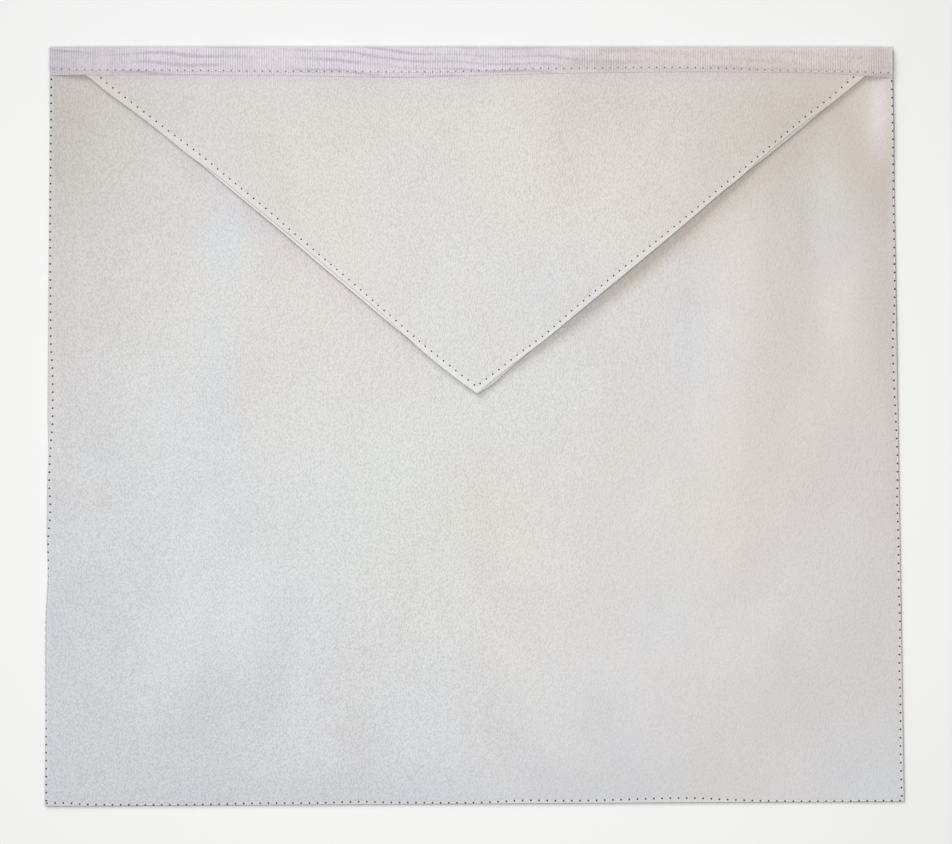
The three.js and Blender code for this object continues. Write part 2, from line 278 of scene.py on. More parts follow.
FLAP_LEFT_ROW = [
    {"along": 0, "inset": 3.6},
    {"along": 0.03, "inset": 3.5},
    {"along": 0.1, "inset": 3},
    {"along": 0.14, "inset": 2.8},
    {"along": 0.19, "inset": 2.85},
    {"along": 0.27, "inset": 3.5},
    {"along": 0.33, "inset": 2.4},
    {"along": 0.44, "inset": 2.6},
    {"along": 0.5, "inset": 1.9},
    {"along": 0.57, "inset": 2},
    {"along": 0.65, "inset": 1.95},
    {"along": 0.7, "inset": 1.75},
    {"along": 0.76, "inset": 1.7},
    {"along": 0.8, "inset": 2.3},
    {"along": 0.84, "inset": 2.55},
    {"along": 0.94, "inset": 2.9},
    {"along": 1, "inset": 2.6},
]
FLAP_RIGHT_ROW = [
    {"along": 0, "inset": 3.1},
    {"along": 0.03, "inset": 3.1},
    {"along": 0.05, "inset": 3.05},
    {"along": 0.08, "inset": 2.7},
    {"along": 0.11, "inset": 2.45},
    {"along": 0.14, "inset": 2.1},
    {"along": 0.17, "inset": 1.65},
    {"along": 0.22, "inset": 1.5},
    {"along": 0.27, "inset": 1.55},
    {"along": 0.32, "inset": 2.2},
    {"along": 0.37, "inset": 2.05},
    {"along": 0.43, "inset": 2.15},
    {"along": 0.48, "inset": 2.3},
    {"along": 0.6, "inset": 2.75},
    {"along": 0.67, "inset": 2.7},
    {"along": 0.75, "inset": 2.55},
    {"along": 0.83, "inset": 1.95},
    {"along": 0.88, "inset": 2.25},
    {"along": 0.92, "inset": 1.95},
    {"along": 0.97, "inset": 2.4},
    {"along": 1, "inset": 3},
]

# Where rows of holes start, stop and meet
SIDE_ROW_MARGIN = 2 * MM
FLAP_ROW_MARGIN = 1.2 * MM
RIBBON_ROW_MARGIN = 2 * MM
ROWS_MEET = POINT_SHIFT - 0.9 * MM
MEETING_SKIP = 0.6  # share of the pitch between the flap's two rows at the point

# How far from a row the stitches draw the plies in, pinch them from below and press them smooth
GROOVE_REACH = 0.7 * MM
RIBBON_DIP_REACH = 0.8 * MM
PINCH_REACH = 0.6 * MM
PRESSED_REACH = 1.2 * MM
PINCH_SPARE = 0.08 * MM  # beyond the thread's thickness
PRESSED_SHARE = 0.5  # of how smooth the flap's margin is

# The flap's margin grows smooth between these distances outside its stitch row
MARGIN_START = -0.2 * MM
MARGIN_FULL = 0.5 * MM

EDGE_THINS = 3 * MM  # over which the ribbon thins towards its woven edge

# Needle holes: their width as a share of the needle's, and their depth
NEEDLE_HOLES = {
    "panel": {"width": 1, "depth": 0.42 * LEATHER, "from_below": False},
    "panel_under": {"width": 0.8, "depth": 0.1 * LEATHER, "from_below": True},
    "lining": {"width": 0.7, "depth": LINING + 1 * MM, "from_below": False},
    "face": {"width": 0.84, "depth": 0.75 * LEATHER, "from_below": False},
    "ribbon": {"width": 0.66, "depth": 0.5 * RIBBON, "from_below": False},
    "ribbon_under": {"width": 0.55, "depth": 0.5 * RIBBON, "from_below": True},
}

# The needle's shape as shares of a hole's width: radius at its tip and neck, and height of its
# lip, whose rim is drawn out by a factor
NEEDLE_SIDES = 10
NEEDLE_TIP = 0.3
NEEDLE_NECK = 0.46
NEEDLE_LIP = 0.16
LIP_FLARE = 1.35

# A stitch: relief of its strands as a share of the thread, how many strands cross its top, how
# much thinner it ends, its length as a share of the pitch, and how far from its middle it dives
THREAD_SIDES = 8
STITCH_RINGS = 11
STRAND_RELIEF = 0.16
STRANDS_SEEN = 2.5
END_THINNING = 0.25
STITCH_LENGTH = 0.86
DIVE_START = 0.34

# How far the ends dive, and how high threads lie as a share of their thickness
LEATHER_DIVE = 0.5 * MM
RIBBON_DIVE = 0.4 * MM
UNDER_DIVE = 0.2 * MM
ON_LEATHER = 0.12
UNDER_LEATHER = 0.6
ON_RIBBON = 0.1
UNDER_RIBBON = -0.45

# Spacing of the points that carry the surfaces. Edge stops are distances from a cut edge, and
# front and back stops are shares of the way over the ribbon's leaves.
EDGE_STOPS = np.array([0, 0.45, 0.85, 1.25, 1.7, 2.2, 2.8, 3.6, 4.8]) * MM
PANEL_CELL = 2.3 * MM
FACE_CELL = 1.35 * MM
FACE_ROWS = 70
LINING_CELL = 2.4 * MM
LINING_ROWS = 38
RIB_COLUMNS = 4
FRONT_STOPS = (0, 0.06, 0.12, 0.19, 0.28, 0.42, 0.62, 0.82, 1)
BACK_STOPS = (0, 0.3, 0.65, 1)
EDGE_WEIGHTS = (0, 0.14, 0.4, 0.75, 1)  # thickness of the ribbon's first rows, from its edge
FOLD_STEPS = 9
CLOTH_SHARE = 0.94  # of the ribbon's thickness
OUTLINE_POINTS = 200

# Angles in degrees: leather is rounded where it turns by more than the first, and shading breaks
# where leather or ribbon turn by more than the others
ROUNDED_TURN = 50
LEATHER_CREASE = 40
RIBBON_CREASE = 60


def table_value(rows, column, along):
    """Values of a table's column at shares of the way along, smooth from row to row."""
    stops = np.array([row["along"] for row in rows], float)
    values = np.array([row[column] for row in rows], float)
    slopes = np.gradient(values, stops)
    along = np.clip(along, 0, 1)
    i = np.clip(np.searchsorted(stops, along, side="right") - 1, 0, len(stops) - 2)
    run = stops[i + 1] - stops[i]
    t = (along - stops[i]) / run
    start = values[i] * (1 + 2 * t) * (1 - t) ** 2 + slopes[i] * run * t * (1 - t) ** 2
    end = values[i + 1] * (3 - 2 * t) * t**2 - slopes[i + 1] * run * (1 - t) * t**2
    return start + end


def bump(share):
    """1 at the middle, falling smoothly to 0 at -1 and 1."""
    return np.where(np.abs(share) < 1, (1 - np.minimum(share**2, 1)) ** 2, 0)


def smooth_step(value, low, high):
    """0 below low and 1 above high, smooth between them."""
    t = np.clip((value - low) / (high - low), 0, 1)
    return t * t * (3 - 2 * t)


def line_dip(distance, half_width):
    """1 on a line, falling smoothly to 0 at about twice the half width."""
    return np.exp(-((distance / half_width) ** 2))


def fold_height(folds, drop, highest, x, y):
    """Height that a table of folds adds at places."""
    height = np.zeros_like(x)
    for fold in folds:
        turn = math.radians(fold["turn"])
        dx = x - fold["across"] * HEM_WIDTH / 2
        dy = WAIST - y - fold["down"] * drop
        along = dy * math.cos(turn) + dx * math.sin(turn)
        aside = dx * math.cos(turn) - dy * math.sin(turn)
        share = bump(along / (fold["reach"] * drop)) * bump(aside / (fold["breadth"] * HEM_WIDTH))
        height = height + fold["rise"] * highest * share
    return height


def rolling(x, y):
    """The slight unevenness of a skin, from -1 to 1."""
    total = 0
    for wave in ROLLING_WAVES:
        sway = WAVE_SWAY * np.sin(SWAYS_UP * y + wave["phase"])
        total = total + np.sin(wave["across"] * x + wave["up"] * y + wave["phase"] + sway)
    return total / len(ROLLING_WAVES)


def clear_of_ribbon(y):
    """0 down to the lower edge of the tucked plies, then up to 1."""
    return smooth_step(WAIST - y, TUCK_DEPTH, TUCK_DEPTH + LIE_DOWN)


def panel_underside(x, y):
    """Height of the panel's back, which lies on the ribbon's back leaf at the waist."""
    free = clear_of_ribbon(y)
    soft = fold_height(PANEL_FOLDS, LENGTH, RIDGE_RISE, x, y)
    creased = fold_height(PANEL_CREASES, LENGTH, CREASE_RISE, x, y)
    uneven = ROLLING_RISE * (1 + rolling(x, y)) / 2
    lying = np.maximum(soft + creased + uneven, 0)
    return (RIBBON + PLY_GAP) * (1 - free) + lying * free


def lining_underside(x, y):
    """Height of the flap's lower ply, which lies on the panel and lifts in its folds."""
    lift = fold_height(FLAP_FOLDS, FLAP_DROP, FLAP_LIFT, x, y)
    creased = fold_height(FLAP_CREASES, FLAP_DROP, CREASE_RISE, x, y)
    free = clear_of_ribbon(y)
    lift = np.maximum(lift + creased, 0)
    return panel_underside(x, y) + LEATHER + PLY_GAP + lift * free


def face_underside(x, y):
    """Height of the flap's upper ply, seen from below."""
    return lining_underside(x, y) + LINING + PLY_GAP


def panel_top(x, y):
    """Height of the panel's grain side."""
    return panel_underside(x, y) + LEATHER


def face_top(x, y):
    """Height of the flap's grain side."""
    return face_underside(x, y) + LEATHER


class CutEdge:
    """One cut edge of the flap: a chord from its corner to the point, with a charted bow."""

    def __init__(self, corner, rows, inward):
        point = np.array([POINT_SHIFT, WAIST - FLAP_DROP])
        self.corner = np.array(corner)
        self.rows = rows
        self.run = point - self.corner
        self.length = np.hypot(*self.run)
        self.along = self.run / self.length
        self.inward = np.array([-self.along[1], self.along[0]]) * inward

    def bow(self, share, shown):
        """How far the cut lies inside its chord. Shown is 1 for the ply that stands out."""
        bow = FLAP_BOW * table_value(self.rows, "bow", share)
        return bow - shown * LINING_SHOW * table_value(self.rows, "show", share)

    def at(self, share, inset=0, shown=0):
        """Points at shares of the way along, moved inward from the cut."""
        offset = self.bow(share, shown) + inset
        return self.corner + np.outer(share, self.run) + np.outer(offset, self.inward)

    def measure(self, x, y):
        """Share of the way along, and distance inward from the cut, of places."""
        dx, dy = x - self.corner[0], y - self.corner[1]
        share = (dx * self.along[0] + dy * self.along[1]) / self.length
        inside = dx * self.inward[0] + dy * self.inward[1]
        return share, inside - self.bow(np.clip(share, 0, 1), 0)


CUT_LEFT = CutEdge((RIBBON_LOW.x + CORNER_INSET_LEFT, WAIST - RIBBON_FRONT), LEFT_EDGE, 1)
CUT_RIGHT = CutEdge((RIBBON_HIGH.x - CORNER_INSET_RIGHT, WAIST - RIBBON_FRONT), RIGHT_EDGE, -1)


def side_left(y):
    """The panel's left side, dented in two places."""
    down = (WAIST - y) / LENGTH
    dips = sum(row["depth"] * bump((down - row["down"]) / row["reach"]) for row in SIDE_DIPS)
    return RIBBON_LOW.x + (PANEL_LOW.x - RIBBON_LOW.x) * down + SIDE_DENT * dips


def side_right(y):
    """The panel's right side, which is straight."""
    down = (WAIST - y) / (LENGTH - HEM_SLANT)
    return RIBBON_HIGH.x + (PANEL_HIGH.x - RIBBON_HIGH.x) * down


def hem_line(x):
    """The hem, which rises slightly to the right."""
    return HEM + HEM_SLANT * (x - PANEL_LOW.x) / HEM_WIDTH


def even_stops(path, pitch, skip=0):
    """Points at an even pitch along a dense path, which may start and end a little in."""
    runs = np.hypot(*np.diff(path, axis=0).T)
    walked = np.concatenate([[0], np.cumsum(runs)])
    count = max(2, round((walked[-1] - 2 * skip) / pitch) + 1)
    marks = np.linspace(skip, walked[-1] - skip, count)
    return np.stack([np.interp(marks, walked, path[:, i]) for i in range(2)], -1)


# Shares of the way along an edge, close together
DENSE = np.linspace(0, 1, 400)


def left_row():
    """The stitch row down the panel's left side, from waist to hem."""
    y = WAIST - DENSE * LENGTH
    inset = table_value(LEFT_ROW, "inset", DENSE) * MM
    return np.stack([side_left(y) + inset, y], -1)


def right_row():
    """The stitch row down the panel's right side, from waist to hem."""
    y = WAIST - DENSE * (LENGTH - HEM_SLANT)
    inset = table_value(RIGHT_ROW, "inset", DENSE) * MM
    return np.stack([side_right(y) - inset, y], -1)


def hem_row():
    """The stitch row along the hem, from left to right."""
    x = PANEL_LOW.x + DENSE * HEM_WIDTH
    inset = table_value(HEM_ROW, "inset", DENSE) * MM
    return np.stack([x, hem_line(x) + inset], -1)


def panel_rows(stitching):
    """Needle holes down both sides of the panel and along its hem."""
    left, right, hem = left_row(), right_row(), hem_row()
    top = WAIST - RIBBON_FRONT - SIDE_ROW_MARGIN
    side_foot = HEM + SIDE_ROW_MARGIN
    left = left[(left[:, 1] < top) & (left[:, 1] > side_foot)]
    right = right[(right[:, 1] < top) & (right[:, 1] > side_foot + HEM_SLANT)]
    hem = hem[(hem[:, 0] > left[-1, 0]) & (hem[:, 0] < right[-1, 0])]
    pitches = stitching.side_pitch, stitching.hem_pitch, stitching.right_pitch
    return [even_stops(path, pitch) for path, pitch in zip((left, hem, right), pitches)]


def flap_rows(stitching):
    """Needle holes down both cut edges of the flap, which meet above its point."""
    paths = []
    for edge, rows in ((CUT_LEFT, FLAP_LEFT_ROW), (CUT_RIGHT, FLAP_RIGHT_ROW)):
        inset = table_value(rows, "inset", DENSE) * MM
        paths.append(edge.at(DENSE, inset))
    left = paths[0][paths[0][:, 0] < ROWS_MEET]
    right = paths[1][paths[1][:, 0] > ROWS_MEET + stitching.flap_pitch * MEETING_SKIP]
    under = WAIST - RIBBON_FRONT - FLAP_ROW_MARGIN
    seen = [path[path[:, 1] < under] for path in (left, right)]
    return [even_stops(path, stitching.flap_pitch) for path in seen]


def ribbon_row(stitching):
    """Needle holes along the ribbon's lower edge."""
    x = np.linspace(RIBBON_LOW.x, RIBBON_HIGH.x, len(DENSE))
    y = WAIST - RIBBON_FRONT * table_value(RIBBON_ROW, "depth", DENSE)
    return even_stops(np.stack([x, y], -1), stitching.ribbon_pitch, skip=RIBBON_ROW_MARGIN)


def row_distance(x, y, path):
    """Distance from places to a dense path that runs mostly down, or mostly across."""
    down = abs(path[-1, 1] - path[0, 1]) > abs(path[-1, 0] - path[0, 0])
    own, other = (1, 0) if down else (0, 1)
    order = np.argsort(path[:, own])
    place = (x, y)
    return np.abs(place[other] - np.interp(place[own], path[order, own], path[order, other]))


def ribbon_height(x):
    """Height of the ribbon's front leaf, which slopes up to the flap from both ends."""
    left, right = CUT_LEFT.corner[0] - PLY_GAP, CUT_RIGHT.corner[0] + PLY_GAP
    rise = (x - RIBBON_LOW.x) / (left - RIBBON_LOW.x)
    fall = (RIBBON_HIGH.x - x) / (RIBBON_HIGH.x - right)
    slope = np.clip(np.minimum(rise, fall), 0, 1)
    on_flap = 0.6 * slope + 0.4 * smooth_step(slope, 0, 1)
    return 2 * RIBBON + LEATHER + 2 * PLY_GAP + (LINING + LEATHER + 2 * PLY_GAP) * on_flap


def ribbon_edge(x):
    """Lower edge of the ribbon's front leaf."""
    along = (x - RIBBON_LOW.x) / WAIST_WIDTH
    return WAIST - RIBBON_FRONT * table_value(RIBBON_WIDTHS, "width", along)


def ribbon_top(x, y, settings):
    """Height of the front leaf's face: thinner at its lower edge, and drawn in by the stitches."""
    along = (x - RIBBON_LOW.x) / WAIST_WIDTH
    row = WAIST - RIBBON_FRONT * table_value(RIBBON_ROW, "depth", along)
    thin = 1 - smooth_step(y - ribbon_edge(x), 0, EDGE_THINS)
    dip = settings.stitch_dip * line_dip(y - row, RIBBON_DIP_REACH)
    drop = RIBBON + 0.7 * PLY_GAP - settings.edge_thickness
    return ribbon_height(x) - drop * thin - dip


def ribbon_back(x, y):
    """Height of the back leaf's outside, which is the apron's lowest surface."""
    return 0 * x


class ApronLeather(bpy.types.PropertyGroup):
    """Sizes and colours of the leather."""

    colour: bpy.props.FloatVectorProperty(
        name="Leather", description="Colour of the grain side", subtype="COLOR", size=3,
        default=(0.73, 0.715, 0.695), min=0, max=1)
    flesh_colour: bpy.props.FloatVectorProperty(
        name="Flesh side", description="Colour of the suede-like back", subtype="COLOR", size=3,
        default=(0.82, 0.81, 0.8), min=0, max=1)
    pebble: bpy.props.FloatProperty(
        name="Pebble", description="Width of the grain's pebbles", unit="LENGTH", default=0.64 * MM)
    pebble_depth: bpy.props.FloatProperty(
        name="Pebble depth", description="Depth of the grain", unit="LENGTH", default=0.19 * MM)
    edge_round: bpy.props.FloatProperty(
        name="Edge round", description="Rounding of the cut edges", unit="LENGTH",
        default=0.32 * MM)
    groove: bpy.props.FloatProperty(
        name="Stitch groove", description="How deep a stitch row draws the leather in",
        unit="LENGTH", default=0.09 * MM)


class ApronStitching(bpy.types.PropertyGroup):
    """Sizes and colour of the stitch rows."""

    hole: bpy.props.FloatProperty(
        name="Needle hole", description="Width of a needle hole", unit="LENGTH", default=1.0 * MM)
    thread: bpy.props.FloatProperty(
        name="Thread", description="Thickness of the thread", unit="LENGTH", default=0.26 * MM)
    colour: bpy.props.FloatVectorProperty(
        name="Thread colour", description="Colour of the thread", subtype="COLOR", size=3,
        default=(0.8, 0.79, 0.77), min=0, max=1)
    flap_pitch: bpy.props.FloatProperty(
        name="Flap pitch", description="From hole to hole on the flap", unit="LENGTH",
        default=3.75 * MM)
    side_pitch: bpy.props.FloatProperty(
        name="Left side pitch", description="From hole to hole down the left side", unit="LENGTH",
        default=3.85 * MM)
    right_pitch: bpy.props.FloatProperty(
        name="Right side pitch", description="From hole to hole down the right side",
        unit="LENGTH", default=3.97 * MM)
    hem_pitch: bpy.props.FloatProperty(
        name="Hem pitch", description="From hole to hole along the hem", unit="LENGTH",
        default=3.92 * MM)
    ribbon_pitch: bpy.props.FloatProperty(
        name="Ribbon pitch", description="From hole to hole on the ribbon", unit="LENGTH",
        default=3.7 * MM)


class ApronRibbon(bpy.types.PropertyGroup):
    """Sizes and colours of the watered ribbon."""

    colour: bpy.props.FloatVectorProperty(
        name="Ribbon", description="Main colour", subtype="COLOR", size=3,
        default=(0.735, 0.695, 0.75), min=0, max=1)
    blush: bpy.props.FloatVectorProperty(
        name="Blush", description="Warmer colour of the right half", subtype="COLOR", size=3,
        default=(0.705, 0.637, 0.622), min=0, max=1)
    rib: bpy.props.FloatProperty(
        name="Rib", description="Width of one rib of the weave", unit="LENGTH", default=1.15 * MM)
    rib_rise: bpy.props.FloatProperty(
        name="Rib rise", description="Height of the ribs", unit="LENGTH", default=0.04 * MM)
    streak_gap: bpy.props.FloatProperty(
        name="Streak gap", description="Between the streaks of the watered figure",
        unit="LENGTH", default=4.3 * MM)
    edge_thickness: bpy.props.FloatProperty(
        name="Edge thickness", description="Thickness at the woven edges", unit="LENGTH",
        default=0.22 * MM)
    stitch_dip: bpy.props.FloatProperty(
        name="Stitch dip", description="How deep the stitches draw the ribbon in",
        unit="LENGTH", default=0.1 * MM)


class ApronStage(bpy.types.PropertyGroup):
    """Floor, lights and camera."""

    floor_colour: bpy.props.FloatVectorProperty(
        name="Floor", description="Colour of the floor", subtype="COLOR", size=3,
        default=(0.895, 0.902, 0.91), min=0, max=1)
    key: bpy.props.FloatProperty(
        name="Key", description="Strength of the main light", default=1.41, min=0)
    key_height: bpy.props.FloatProperty(
        name="Key height", description="Main light above the horizon", subtype="ANGLE",
        default=math.radians(36))
    key_side: bpy.props.FloatProperty(
        name="Key side", description="Main light, anticlockwise from the right", subtype="ANGLE",
        default=math.radians(124))
    key_size: bpy.props.FloatProperty(
        name="Key size", description="How wide the main light looks", subtype="ANGLE",
        default=math.radians(28))
    sky: bpy.props.FloatProperty(
        name="Sky", description="Strength of the light from all round", default=0.46, min=0)
    overhead: bpy.props.FloatProperty(
        name="Overhead", description="Power of the soft box above the apron", unit="POWER",
        default=1.6, min=0)
    view_width: bpy.props.FloatProperty(
        name="View width", description="What the picture takes in from side to side",
        unit="LENGTH", default=454.7 * MM)


class Signal:
    """A shader socket on which sums are written as in Python."""

    def __init__(self, finish, socket):
        self.finish = finish
        self.socket = socket

    def _sum(self, operation, first, second):
        return self.finish.add("ShaderNodeMath", {"operation": operation}, {0: first, 1: second})

    def __add__(self, other):
        return self._sum("ADD", self, other)

    def __radd__(self, other):
        return self._sum("ADD", other, self)

    def __sub__(self, other):
        return self._sum("SUBTRACT", self, other)

    def __rsub__(self, other):
        return self._sum("SUBTRACT", other, self)

    def __mul__(self, other):
        return self._sum("MULTIPLY", self, other)

    def __rmul__(self, other):
        return self._sum("MULTIPLY", other, self)

    def __truediv__(self, other):
        return self._sum("DIVIDE", self, other)

    def __rtruediv__(self, other):
        return self._sum("DIVIDE", other, self)


class Finish:
    """A node material, and the way that its nodes are made."""

    def __init__(self, name):
        self.material = bpy.data.materials.new(name)
        self.material.use_nodes = True
        self.tree = self.material.node_tree
        self.tree.nodes.clear()

    def add(self, kind, settings, sockets, output=0):
        """A node with its settings, then the values and links of its sockets."""
        node = self.tree.nodes.new(kind)
        for key, value in settings.items():
            setattr(node, key, value)
        for key, value in sockets.items():
            if isinstance(value, Signal):
                self.tree.links.new(value.socket, node.inputs[key])
            else:
                node.inputs[key].default_value = value
        return Signal(self, node.outputs[output]) if node.outputs else node

    def place(self, stretch=(1, 1, 1), turn=0):
        """Object coordinates, stretched and turned about the vertical."""
        spot = self.add("ShaderNodeTexCoord", {}, {}, "Object")
        shaping = {"Vector": spot, "Scale": stretch, "Rotation": (0, 0, turn)}
        return self.add("ShaderNodeMapping", {}, shaping)

    def along(self, axis):
        """The place along one axis, in metres."""
        spot = self.add("ShaderNodeTexCoord", {}, {}, "Object")
        return self.add("ShaderNodeSeparateXYZ", {}, {0: spot}, axis)

    def patch(self, middle, reach, uneven, turn=0):
        """1 in the middle of a rounded patch, falling unevenly to 0 at its rim."""
        spot = self.add("ShaderNodeTexCoord", {}, {}, "Object")
        shaping = {"Vector": spot, "Location": (*middle, 0), "Rotation": (0, 0, turn),
                   "Scale": (*reach, 1)}
        inner = self.add("ShaderNodeMapping", {"vector_type": "TEXTURE"}, shaping)
        away = self.add("ShaderNodeVectorMath", {"operation": "LENGTH"}, {0: inner}, "Value")
        return 1 - self.between(away + uneven, 0, 1)

    def sine(self, value):
        """Waves from -1 to 1, one for each full turn of a value in radians."""
        return self.add("ShaderNodeMath", {"operation": "SINE"}, {0: value})

    def noise(self, place, size, detail=2, roughness=0.5):
        """Soft noise from 0 to 1, with features of a size in metres."""
        values = {"Vector": place, "Scale": 1 / size, "Detail": detail, "Roughness": roughness}
        return self.add("ShaderNodeTexNoise", {}, values, "Fac")

    def between(self, value, low, high):
        """0 below low, 1 above high, smooth between them."""
        settings = {"interpolation_type": "SMOOTHSTEP"}
        return self.add("ShaderNodeMapRange", settings, {0: value, 1: low, 2: high})

    def blend(self, first, second, share, kind="MIX"):
        """A colour between two others."""
        settings = {"data_type": "RGBA", "blend_type": kind}
        colours = {6: opaque(first), 7: opaque(second)}
        return self.add("ShaderNodeMix", settings, {0: share, **colours}, 2)

    def relief(self, height, depth):
        """A bump of a depth in metres."""
        sockets = {"Height": height, "Distance": depth, "Strength": 1}
        return self.add("ShaderNodeBump", {}, sockets)

    def close(self, **sockets):
        """The surface itself. Underscores in names stand for spaces."""
        named = {key.replace("_", " "): value for key, value in sockets.items()}
        surface = self.add("ShaderNodeBsdfPrincipled", {}, named)
        self.add("ShaderNodeOutputMaterial", {}, {"Surface": surface})
        return self.material


def opaque(colour):
    """A colour that a node takes: a signal as it is, and three shares with full alpha."""
    return colour if isinstance(colour, Signal) else (*tuple(colour)[:3], 1)


def shade(colour, share):
    """A colour made darker or paler by one share."""
    return tuple(channel * share for channel in colour)


# Tones that the hide's colour is multiplied by
# CREAM and COOL: ends of a painted light cast, creamy to the upper right and cool to the lower
# left, which random clouds also blend between
CREAM = (1.033, 0.989, 0.942)
COOL = (0.93, 0.992, 1.07)
# Painted shade, darker and browner, in the top corners beside the flap
CORNER_SHADE = (0.9, 0.868, 0.815)
# Painted shade along the hem
DIM = (0.91, 0.925, 0.95)
CHILLED = (0.955, 1, 1.045)
# A painted highlight of glare on the bent upper right edge of the panel
PAINTED_GLARE = (1.13, 1.145, 1.27)
# Painted light: a pool over the middle and highlights of folds
PALE = (1.06, 1.075, 1.06)
SHADED = (0.95, 0.936, 0.94)
# Lilac: painted shadow beside the flap's left edge, and the ribbon's painted reflection on the
# leather below it
LILAC = (0.975, 0.94, 1.01)
IVORY = (0.995, 1.012, 0.985)
# Warm brown: painted shadow along the flap's right edge and the panel's right edge, and a small
# spot
WARM_SHADOW_AND_SPOT = (0.975, 0.94, 0.885)
SPOTTED = (0.958, 0.96, 0.97)
ROSY = (1.003, 0.993, 1.005)
PRESSED = (1.03, 1.03, 1.06)
# Painted shade in the hollows of the grain
GRAIN_HOLLOW_SHADE = (0.845, 0.845, 0.85)

# The same for the ribbon's silk
RIB_SHADE = (0.72, 0.71, 0.74)
RIB_GLINT = (1.14, 1.14, 1.13)
BETWEEN_THREADS = (0.82, 0.81, 0.83)
WATERED_BAND = (0.87, 0.89, 0.88)
WATERED_STREAK = (0.81, 0.79, 0.84)
# Painted shade at the ribbon's left end
SHADED_SILK_END = (0.86, 0.86, 0.85)

# How far painted shade darkens the needle holes
LEATHER_HOLE_SHADE = 0.86
RIBBON_HOLE_SHADE = 0.68

# Sizes of what the finishes are made of
CLOUDS = 90 * MM
SPOTS = 48 * MM
ROSY_SPOTS = 30 * MM
GRAIN_DRIFT = 60 * MM
NAP = 0.35 * MM
NAP_CLOUDS = 18 * MM
NAP_DEPTH = 0.12 * MM
FIBRES = 0.7 * MM
FIBRE_DEPTH = 0.08 * MM
HOLE_MOTTLE = 0.5 * MM
STRANDS = 0.25 * MM
STRAND_DEPTH = 0.03 * MM
FLOOR_CLOUDS = 300 * MM

# Way of the grain, and where it grows fainter, measured towards the lower right
GRAIN_STRETCH = (1, 0.5, 1)
GRAIN_TURN = math.radians(4)
PORE_SHARE = 0.34  # of a pebble's width
FAINT_FROM = 30 * MM
FAINT_TO = 190 * MM
FAINT_DRIFT = 80 * MM

# Lengths over which a painted light cast turns the hide from cool to creamy, to the right and
# upward, and how far the ribbon's painted lilac reflection reaches below and above its lower edge
CREAM_ACROSS = 1300 * MM
CREAM_UP = 900 * MM
CAST_BELOW = 7 * MM
CAST_ABOVE = 1 * MM

# The watered figure: sizes of the sway and ripple of its streaks, how high they carry them, and
# sizes of what fades the streaks, of broad bands, of the silk's threads and of its glinting
SWAY = 85 * MM
SWAY_HEIGHT = 15 * MM
RIPPLE = 22 * MM
RIPPLE_HEIGHT = 1.2 * MM
STREAK_FADE = 40 * MM
BROAD_BANDS = 26 * MM
SILK_THREADS = 0.45 * MM
SILK_GLINTS = 6 * MM
SILK_DEPTH = 0.08 * MM

# Where the ribbon blushes, where broad bands cross it, and how far the painted shade at its left
# end reaches
BLUSH_START = 5 * MM
BLUSH_FULL = 95 * MM
BANDS_AT = 62 * MM
BANDS_REACH = (75 * MM, 30 * MM)
SHADED_END_REACH = (60 * MM, 40 * MM)

# Patches that tone the hide: painted shade in its top corners, along the hem and at the sides,
# painted light over the middle and on folds, a painted highlight at the upper right, painted shadow
# along the flap's cut edges and the panel's right edge, cooler and ivory tints, and a small warm
# spot. Middle and reach are in millimetres, from the middle of the apron's outline, and turn is in
# degrees.
TONED_PATCHES = [
    # Painted shade in the top corners beside the flap
    {"middle": (-206, 145), "reach": (75, 100), "tone": CORNER_SHADE, "share": 1},
    {"middle": (160, 135), "reach": (80, 80), "tone": CORNER_SHADE, "share": 0.8},
    # Painted shade along the hem
    {"middle": (-30, -190), "reach": (230, 40), "tone": DIM, "share": 0.9},
    {"middle": (-121, 15), "reach": (20, 110), "tone": CHILLED, "share": 0.45},
    {"middle": (205, -175), "reach": (75, 60), "tone": CHILLED, "share": 0.8},
    # Painted pool of light over the middle
    {"middle": (-60, 30), "reach": (200, 240), "tone": PALE, "share": 1},
    {"middle": (215, 0), "reach": (230, 330), "tone": SHADED, "share": 1},
    # Painted highlight of glare at the upper right edge
    {"middle": (193, 150), "reach": (9, 32), "tone": PAINTED_GLARE, "share": 1},
    {"middle": (-200, 60), "reach": (50, 150), "tone": SHADED, "share": 0.6},
    {"middle": (75, -150), "reach": (120, 60), "tone": SHADED, "share": 0.4},
    {"middle": (188, 130), "reach": (60, 60), "tone": SHADED, "share": 0.5},
    # Painted light on the flap's upper middle
    {"middle": (14, 104), "reach": (45, 62), "tone": PALE, "share": 0.6},
    # Painted highlight of a fold right of the flap's edge
    {"middle": (167, 116), "reach": (17, 45), "tone": PALE, "share": 1},
    {"middle": (166, 108), "reach": (22, 45), "tone": CHILLED, "share": 0.7},
    {"middle": (-121, 92), "reach": (26, 34), "tone": CHILLED, "share": 1},
    {"middle": (106, 42), "reach": (28, 62), "tone": CHILLED, "share": 0.8},
    {"middle": (34, 68), "reach": (42, 30), "tone": CHILLED, "share": 0.7},
    {"middle": (100, -88), "reach": (42, 34), "tone": CHILLED, "share": 0.6},
    {"middle": (-205, -95), "reach": (48, 85), "tone": CHILLED, "share": 0.5},
    {"middle": (20, -30), "reach": (150, 115), "tone": IVORY, "share": 1},
    # Painted warm shade along the panel's right edge
    {"middle": (204, 15), "reach": (13, 105), "tone": WARM_SHADOW_AND_SPOT, "share": 0.8},
    # A small warm spot at the left side
    {"middle": (-178, -35), "reach": (13, 12), "tone": WARM_SHADOW_AND_SPOT, "share": 0.5},
    # Painted warm shadow below the flap's right edge
    {"middle": (98, 88), "reach": (125, 7), "turn": 39, "tone": WARM_SHADOW_AND_SPOT, "share": 1},
    # Painted lilac shadow below the flap's left edge
    {"middle": (-94, 88), "reach": (120, 9), "turn": -39, "tone": LILAC, "share": 0.7},
]


def tinted(colour, factors):
    """A colour times a factor for each of its channels."""
    return tuple(channel * factor for channel, factor in zip(colour, factors))


